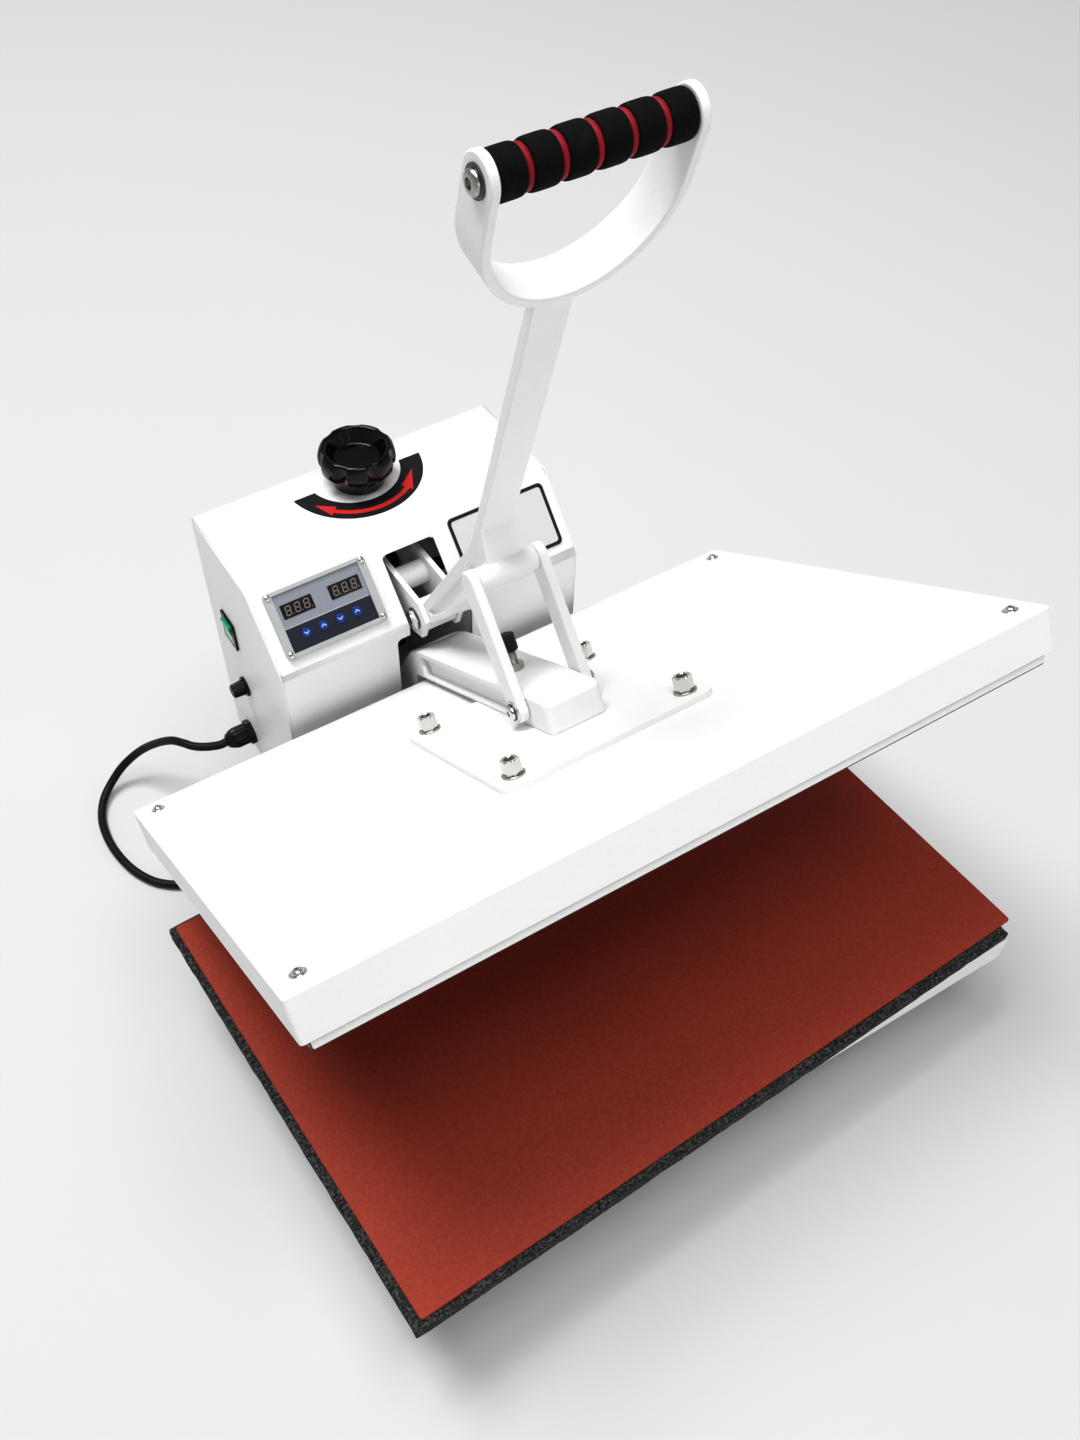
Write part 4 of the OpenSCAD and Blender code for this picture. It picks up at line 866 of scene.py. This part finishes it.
gripBolt = {
    "place": (0, 0),
    "bolt": [(4, 47.5), *raised(68.1, [(4, 0), (7, 0), (7, 0.8), (6.7, 1.7), (6, 2.5), (5, 2.95), (4, 3.05),
                                       (3, 3.46, 3.05), (3, 3.46, 1)])],
    "washer": washerRows(4.2, 9, 66.5, 68.1),
}
gripBolts = mirrored(gripBolt, "bolt", onGrip)
fitted("gripBolts", gripBolts, "lever", "bright_steel", ("grip_bolts",), extras["dullSteel"])
fitted("gripWashers", mirrored(gripBolt, "washer", onGrip), "lever", "dark_steel")

boltEnd = max(abs(corner[0]) for corner in nodes["lever_pivot_bolt"].bound_box) / mm
earFace, nutFace = boltEnd - 4.6, boltEnd - 3.4  # the washer lies between them, and the nut outside it
pivot = {
    "place": leverPivot["place"][1:], "body": bodyOf["lever_pivot_bolt"],
    "nut": [(6, 0), *raised(nutFace, [(6, 0), *hexagonRows(17, 0, 3.2, (0.5, 0.6), (0.98, 0.97)), (6.6, 3.2),
                                      (6.4, 2.6), (6, 2.6), (5.8, 3.4)])],
    "washer": washerRows(6.1, 10, earFace, nutFace),
}
fitted("pivotNuts", mirrored(pivot, "nut", onStand), pivot["body"], "bright_steel", ("lever_pivot_bolt",))
fitted("pivotWashers", mirrored(pivot, "washer", onStand), pivot["body"], "dark_steel")

bezelScrew = {
    "x": (-134, -45.5), "y": (15.39, 66.49), "around": 36,
    "head": [(1.2, -6), (1.2, 4), (2.9, 4), (2.9, 4.4), (2.6, 5.1), (1.9, 5.6), (1.1, 5.8), (0.8, 0.92, 5.8),
             (0.7, 0.8, 4.9)],
}
bezelScrews = atCorners(bezelScrew, onSlope, bezelScrew["head"])
fitted("panelScrews", bezelScrews, "stand", "bright_steel", ("panel_screws",))

bumper = {"place": (0, 251, 32), "nut": [(4, 0), *hexagonRows(13, 0, 6.5, (0.6, 0.7)), (4, 6.5)], "stud": 4,
          "root": -11, "end": 23.3, "pitch": 1.25, "pitchSteps": 8, "depth": 0.55, "power": 1.4, "around": 36}


def threadRows():
    # the radius falls and rises once per pitch, and the phase goes once round per turn
    angle = anglesRound(bumper["around"])
    height = np.arange(bumper["root"], bumper["end"], bumper["pitch"] / bumper["pitchSteps"])[:, None]
    phase = (height / bumper["pitch"] - angle / (2 * np.pi)) % 1
    return spun(bumper["stud"] - bumper["depth"] * np.abs(2 * phase - 1) ** bumper["power"], height, angle)


bumperRows = [onCover(rows + bumper["place"]) for rows in (turned(bumper["nut"]), threadRows())]
fitted("bumperStud", bumperRows, "platen_arm", "bright_steel", ("bumper_bolt",), extras["dullSteel"])

# Fuse cap and cable gland on the left end: turned along x, ribbed where fingers or a spanner hold them
sideFittings = {"fuse": (-150, 266.478, 163), "gland": (-150, 281.478, 82), "around": 160,
                "ribs": (20, 0.55), "facets": (8, 1.1)}


def ribbed(profile, count, depth):
    # rows of (radius, height, share): the radius dips by share * depth * |cos(count * angle / 2)|^3
    radius, height, share = np.array(profile, float).T[:, :, None]
    angle = anglesRound(sideFittings["around"])
    return spun(radius - share * depth * np.abs(np.cos(count * angle / 2)) ** 3, height, angle)


fuseProfile = [(6.1, -28, 0), (6.2, 0, 0), (9.7, 0, 0), (10, 0.4, 0), (10, 2.3, 0), (9.4, 3, 0), (7.6, 3, 0),
               (7.5, 3.6, 0.2), (7.45, 4.4, 1), (6.75, 13.2, 1), (6.5, 14.2, 0.7), (5.9, 14.9, 0.2),
               (5, 15, 0), (4.6, 14.5, 0), (0.3, 14.5, 0)]
flangeProfile = [(9, -14), (9, 0), (11.2, 12.8, 0), (11.2, 13, 0.5), (11.2, 13, 5.4), (11.2, 12.8, 6),
                 (9.4, 6), (9.4, 6.6)]
capProfile = [(9.6, 6.2, 0), (10.6, 6.4, 0.4), (11, 7, 1), (11, 17.6, 1), (10.7, 19.4, 1), (10, 21.6, 0.9),
              (8.9, 24, 0.7), (7.7, 26, 0.4), (6.8, 27.3, 0.1), (6.2, 27.9, 0), (5.4, 28, 0), (4.5, 27.6, 0),
              (4.3, 26, 0)]
fittingRows = {
    "fuseCap": (ribbed(fuseProfile, *sideFittings["ribs"]), "fuse", "fuse_holder"),
    "glandFlange": (turned(flangeProfile), "gland", "cable_gland"),
    "glandCap": (ribbed(capProfile, *sideFittings["facets"]), "gland", "gland_nut"),
}
for name, (rows, spot, nodeName) in fittingRows.items():
    onWall = onStand(sideways(rows, -1) + sideFittings[spot])
    fitted(name, [onWall], "stand", "black_plastic", (nodeName,), sharp=35)
print("fasteners made")

# Panel print: unlit digits in the windows, chevrons on the keys, a border on the plate, an arrow on the arc
panel = {"windows": (-112.2, -67.3), "windowY": 50.64, "digitStep": 8.6, "digitSize": (4.3, 7.6),
         "stroke": 0.95, "strokeGap": 0.3, "slant": 0.1, "digitHeights": (2.69, 2.76),
         "point": 0.5225, "pointAt": (3.6, -3.9),
         "keys": ("temp_down", "temp_up", "time_down", "time_up"), "keyFirst": -113.45, "keyStep": 16,
         "keyY": 28.04, "markHeights": (3.18, 3.26)}


def strokeOutline(middle, length, upright):  # one bar of a digit, pointed at both ends
    reach, thick = length / 2, panel["stroke"] / 2
    flat = reach - thick
    bar = np.array([(-reach, 0), (-flat, thick), (flat, thick), (reach, 0), (flat, -thick), (-flat, -thick)])
    return (bar[:, ::-1] if upright else bar) + middle


def digitOutlines(x):  # seven slanted bars, and the point to the right of their foot
    (wide, tall), gap = panel["digitSize"], panel["strokeGap"]
    bars = [strokeOutline((0, k * tall / 2), wide - gap, False) for k in (-1, 0, 1)]
    uprights = [(i * wide / 2, j * tall / 4) for i in (-1, 1) for j in (-1, 1)]
    bars += [strokeOutline(middle, tall / 2 - gap, True) for middle in uprights]
    slanted = [bar + np.stack([panel["slant"] * bar[:, 1], np.zeros(len(bar))], -1) for bar in bars]
    point = polar(panel["point"], np.arange(0, 360, 30)) + panel["pointAt"]
    return [outline + (x, panel["windowY"]) for outline in [*slanted, point]]


digitPlaces = [x + k * panel["digitStep"] for x in panel["windows"] for k in (-1, 0, 1)]
digits = [outline for x in digitPlaces for outline in digitOutlines(x)]
digitRows = [onSlope(lifted(outline, *panel["digitHeights"])) for outline in digits]
fitted("unlitDigits", digitRows, "stand", None, finish=extras["unlitDigit"])
chevron = np.array([(-2.2, 1.5), (0, -0.5), (2.2, 1.5), (2.2, 0.3), (0, -1.7), (-2.2, 0.3)])
for k, keyName in enumerate(panel["keys"]):
    keyPlace = (panel["keyFirst"] + k * panel["keyStep"], panel["keyY"])
    mark = chevron * (1, -1 if keyName.endswith("up") else 1) + keyPlace
    markRows = onSlope(lifted(mark, *panel["markHeights"]))
    fitted(keyName + "Mark", [markRows], keyName, None, finish=extras["paleMark"])

plate = {"place": (90.5, 40.94, 0), "size": (99, 58.2), "insets": (0.3, 3.6), "corner": 5, "cornerFall": 0.6,
         "heights": (0.75, 0.86)}
rimOut, rimIn = [
    roundedRectangle(*(np.array(plate["size"]) - 2 * inset), plate["corner"] - plate["cornerFall"] * inset)
    for inset in plate["insets"]
]
low, high = plate["heights"]
rimRows = np.concatenate([lifted(rimOut, low, high), lifted(rimIn, high, low), lifted(rimOut, low)])
rimRows = onSlope(rimRows + plate["place"])
fitted("plateBorder", [rimRows], "stand", None, finish=extras["blackBorder"], capEnds=False)

arrowSweep = np.linspace(226, 304, 25)
arrow = {  # its edge is (distance outside the radius, degrees)
    "centre": (0, 303.978), "radius": 55.8, "heights": (328.45, 328.56),
    "edge": [(2.3, arrowSweep), (5.8, 304), (-2, 331), (-5.8, 304), (-2.3, arrowSweep[::-1]), (-5.8, 226),
             (0, 206), (5.8, 226)],
}
arrowParts = [polar(arrow["radius"] + outside, degrees) for outside, degrees in arrow["edge"]]
arrowOutline = np.vstack(arrowParts) + arrow["centre"]
arrowRows = onStand(lifted(arrowOutline, *arrow["heights"]))
fitted("turnArrow", [arrowRows], "stand", None, finish=extras["redArrow"])
print("panel print made")

# Floor, light and sky: the sky is bright at the horizon and dim overhead
studio = {
    "corners": [(-9, -9, 0), (9, -9, 0), (9, 9, 0), (-9, 9, 0)],
    "floor": (0.61, 0.61, 0.613), "floorShade": (0.6, 0.6, 0.603),
    "sky": 0.68, "horizon": (0.98, 0.99, 1.0, 1), "overhead": (0.1, 0.1, 0.1, 1), "gamma": 0.88,
}
lamps = {
    "keyLight": {"place": (-1.0, 1.6, 5.4), "aim": (0, 0, 0.2), "size": (2.4, 2.4), "power": 296},
    "fillLight": {"place": (0.6, -2.6, 0.9), "aim": (0, 0, 0.3), "size": (2.4, 1.2), "power": 14},
    "topLight": {"place": (0.1, -0.75, 3.6), "aim": (0, -0.3, 0.1), "size": (1.7, 1.5), "power": 49},
}
floorMesh = bpy.data.meshes.new("studioFloor")
floorMesh.from_pydata(studio["corners"], [], [(0, 1, 2, 3)])
floorFinish = Finish("paleFloor", Specular_IOR_Level=0.1, Roughness=0.8)
floorTone = floorFinish.mix(floorFinish.noise(3, 2), studio["floor"], studio["floorShade"])
floorMesh.materials.append(floorFinish.into("Base Color", floorTone).material)
linked("studioFloor", floorMesh)


def softLight(name, place, aim, size, power):
    lampData = bpy.data.lights.new(name, "AREA")
    lampData.shape, lampData.energy = "RECTANGLE", power
    lampData.size, lampData.size_y = size
    lamp = linked(name, lampData)
    x, y, z = np.subtract(place, aim)
    lamp.location = place
    lamp.rotation_euler = (math.atan2(math.hypot(x, y), z), 0, math.atan2(x, -y))


for name, lamp in lamps.items():
    softLight(name, **lamp)
sky = bpy.data.worlds.new("paleSky")
sky.use_nodes = True
skyNodes, skyLinks = sky.node_tree.nodes, sky.node_tree.links
skyRamp = skyNodes.new("ShaderNodeValToRGB")
skyRamp.color_ramp.elements[0].color = studio["horizon"]
skyRamp.color_ramp.elements[1].color = studio["overhead"]
skySplit = skyNodes.new("ShaderNodeSeparateXYZ")
skyLinks.new(skyNodes.new("ShaderNodeTexCoord").outputs["Generated"], skySplit.inputs[0])
skyLinks.new(skySplit.outputs["Z"], skyRamp.inputs["Fac"])
skyLinks.new(skyRamp.outputs["Color"], skyNodes["Background"].inputs["Color"])
skyNodes["Background"].inputs["Strength"].default_value = studio["sky"]
scene.world = sky
scene.view_settings.view_transform = "Standard"
scene.view_settings.gamma = studio["gamma"]
print("studio set")
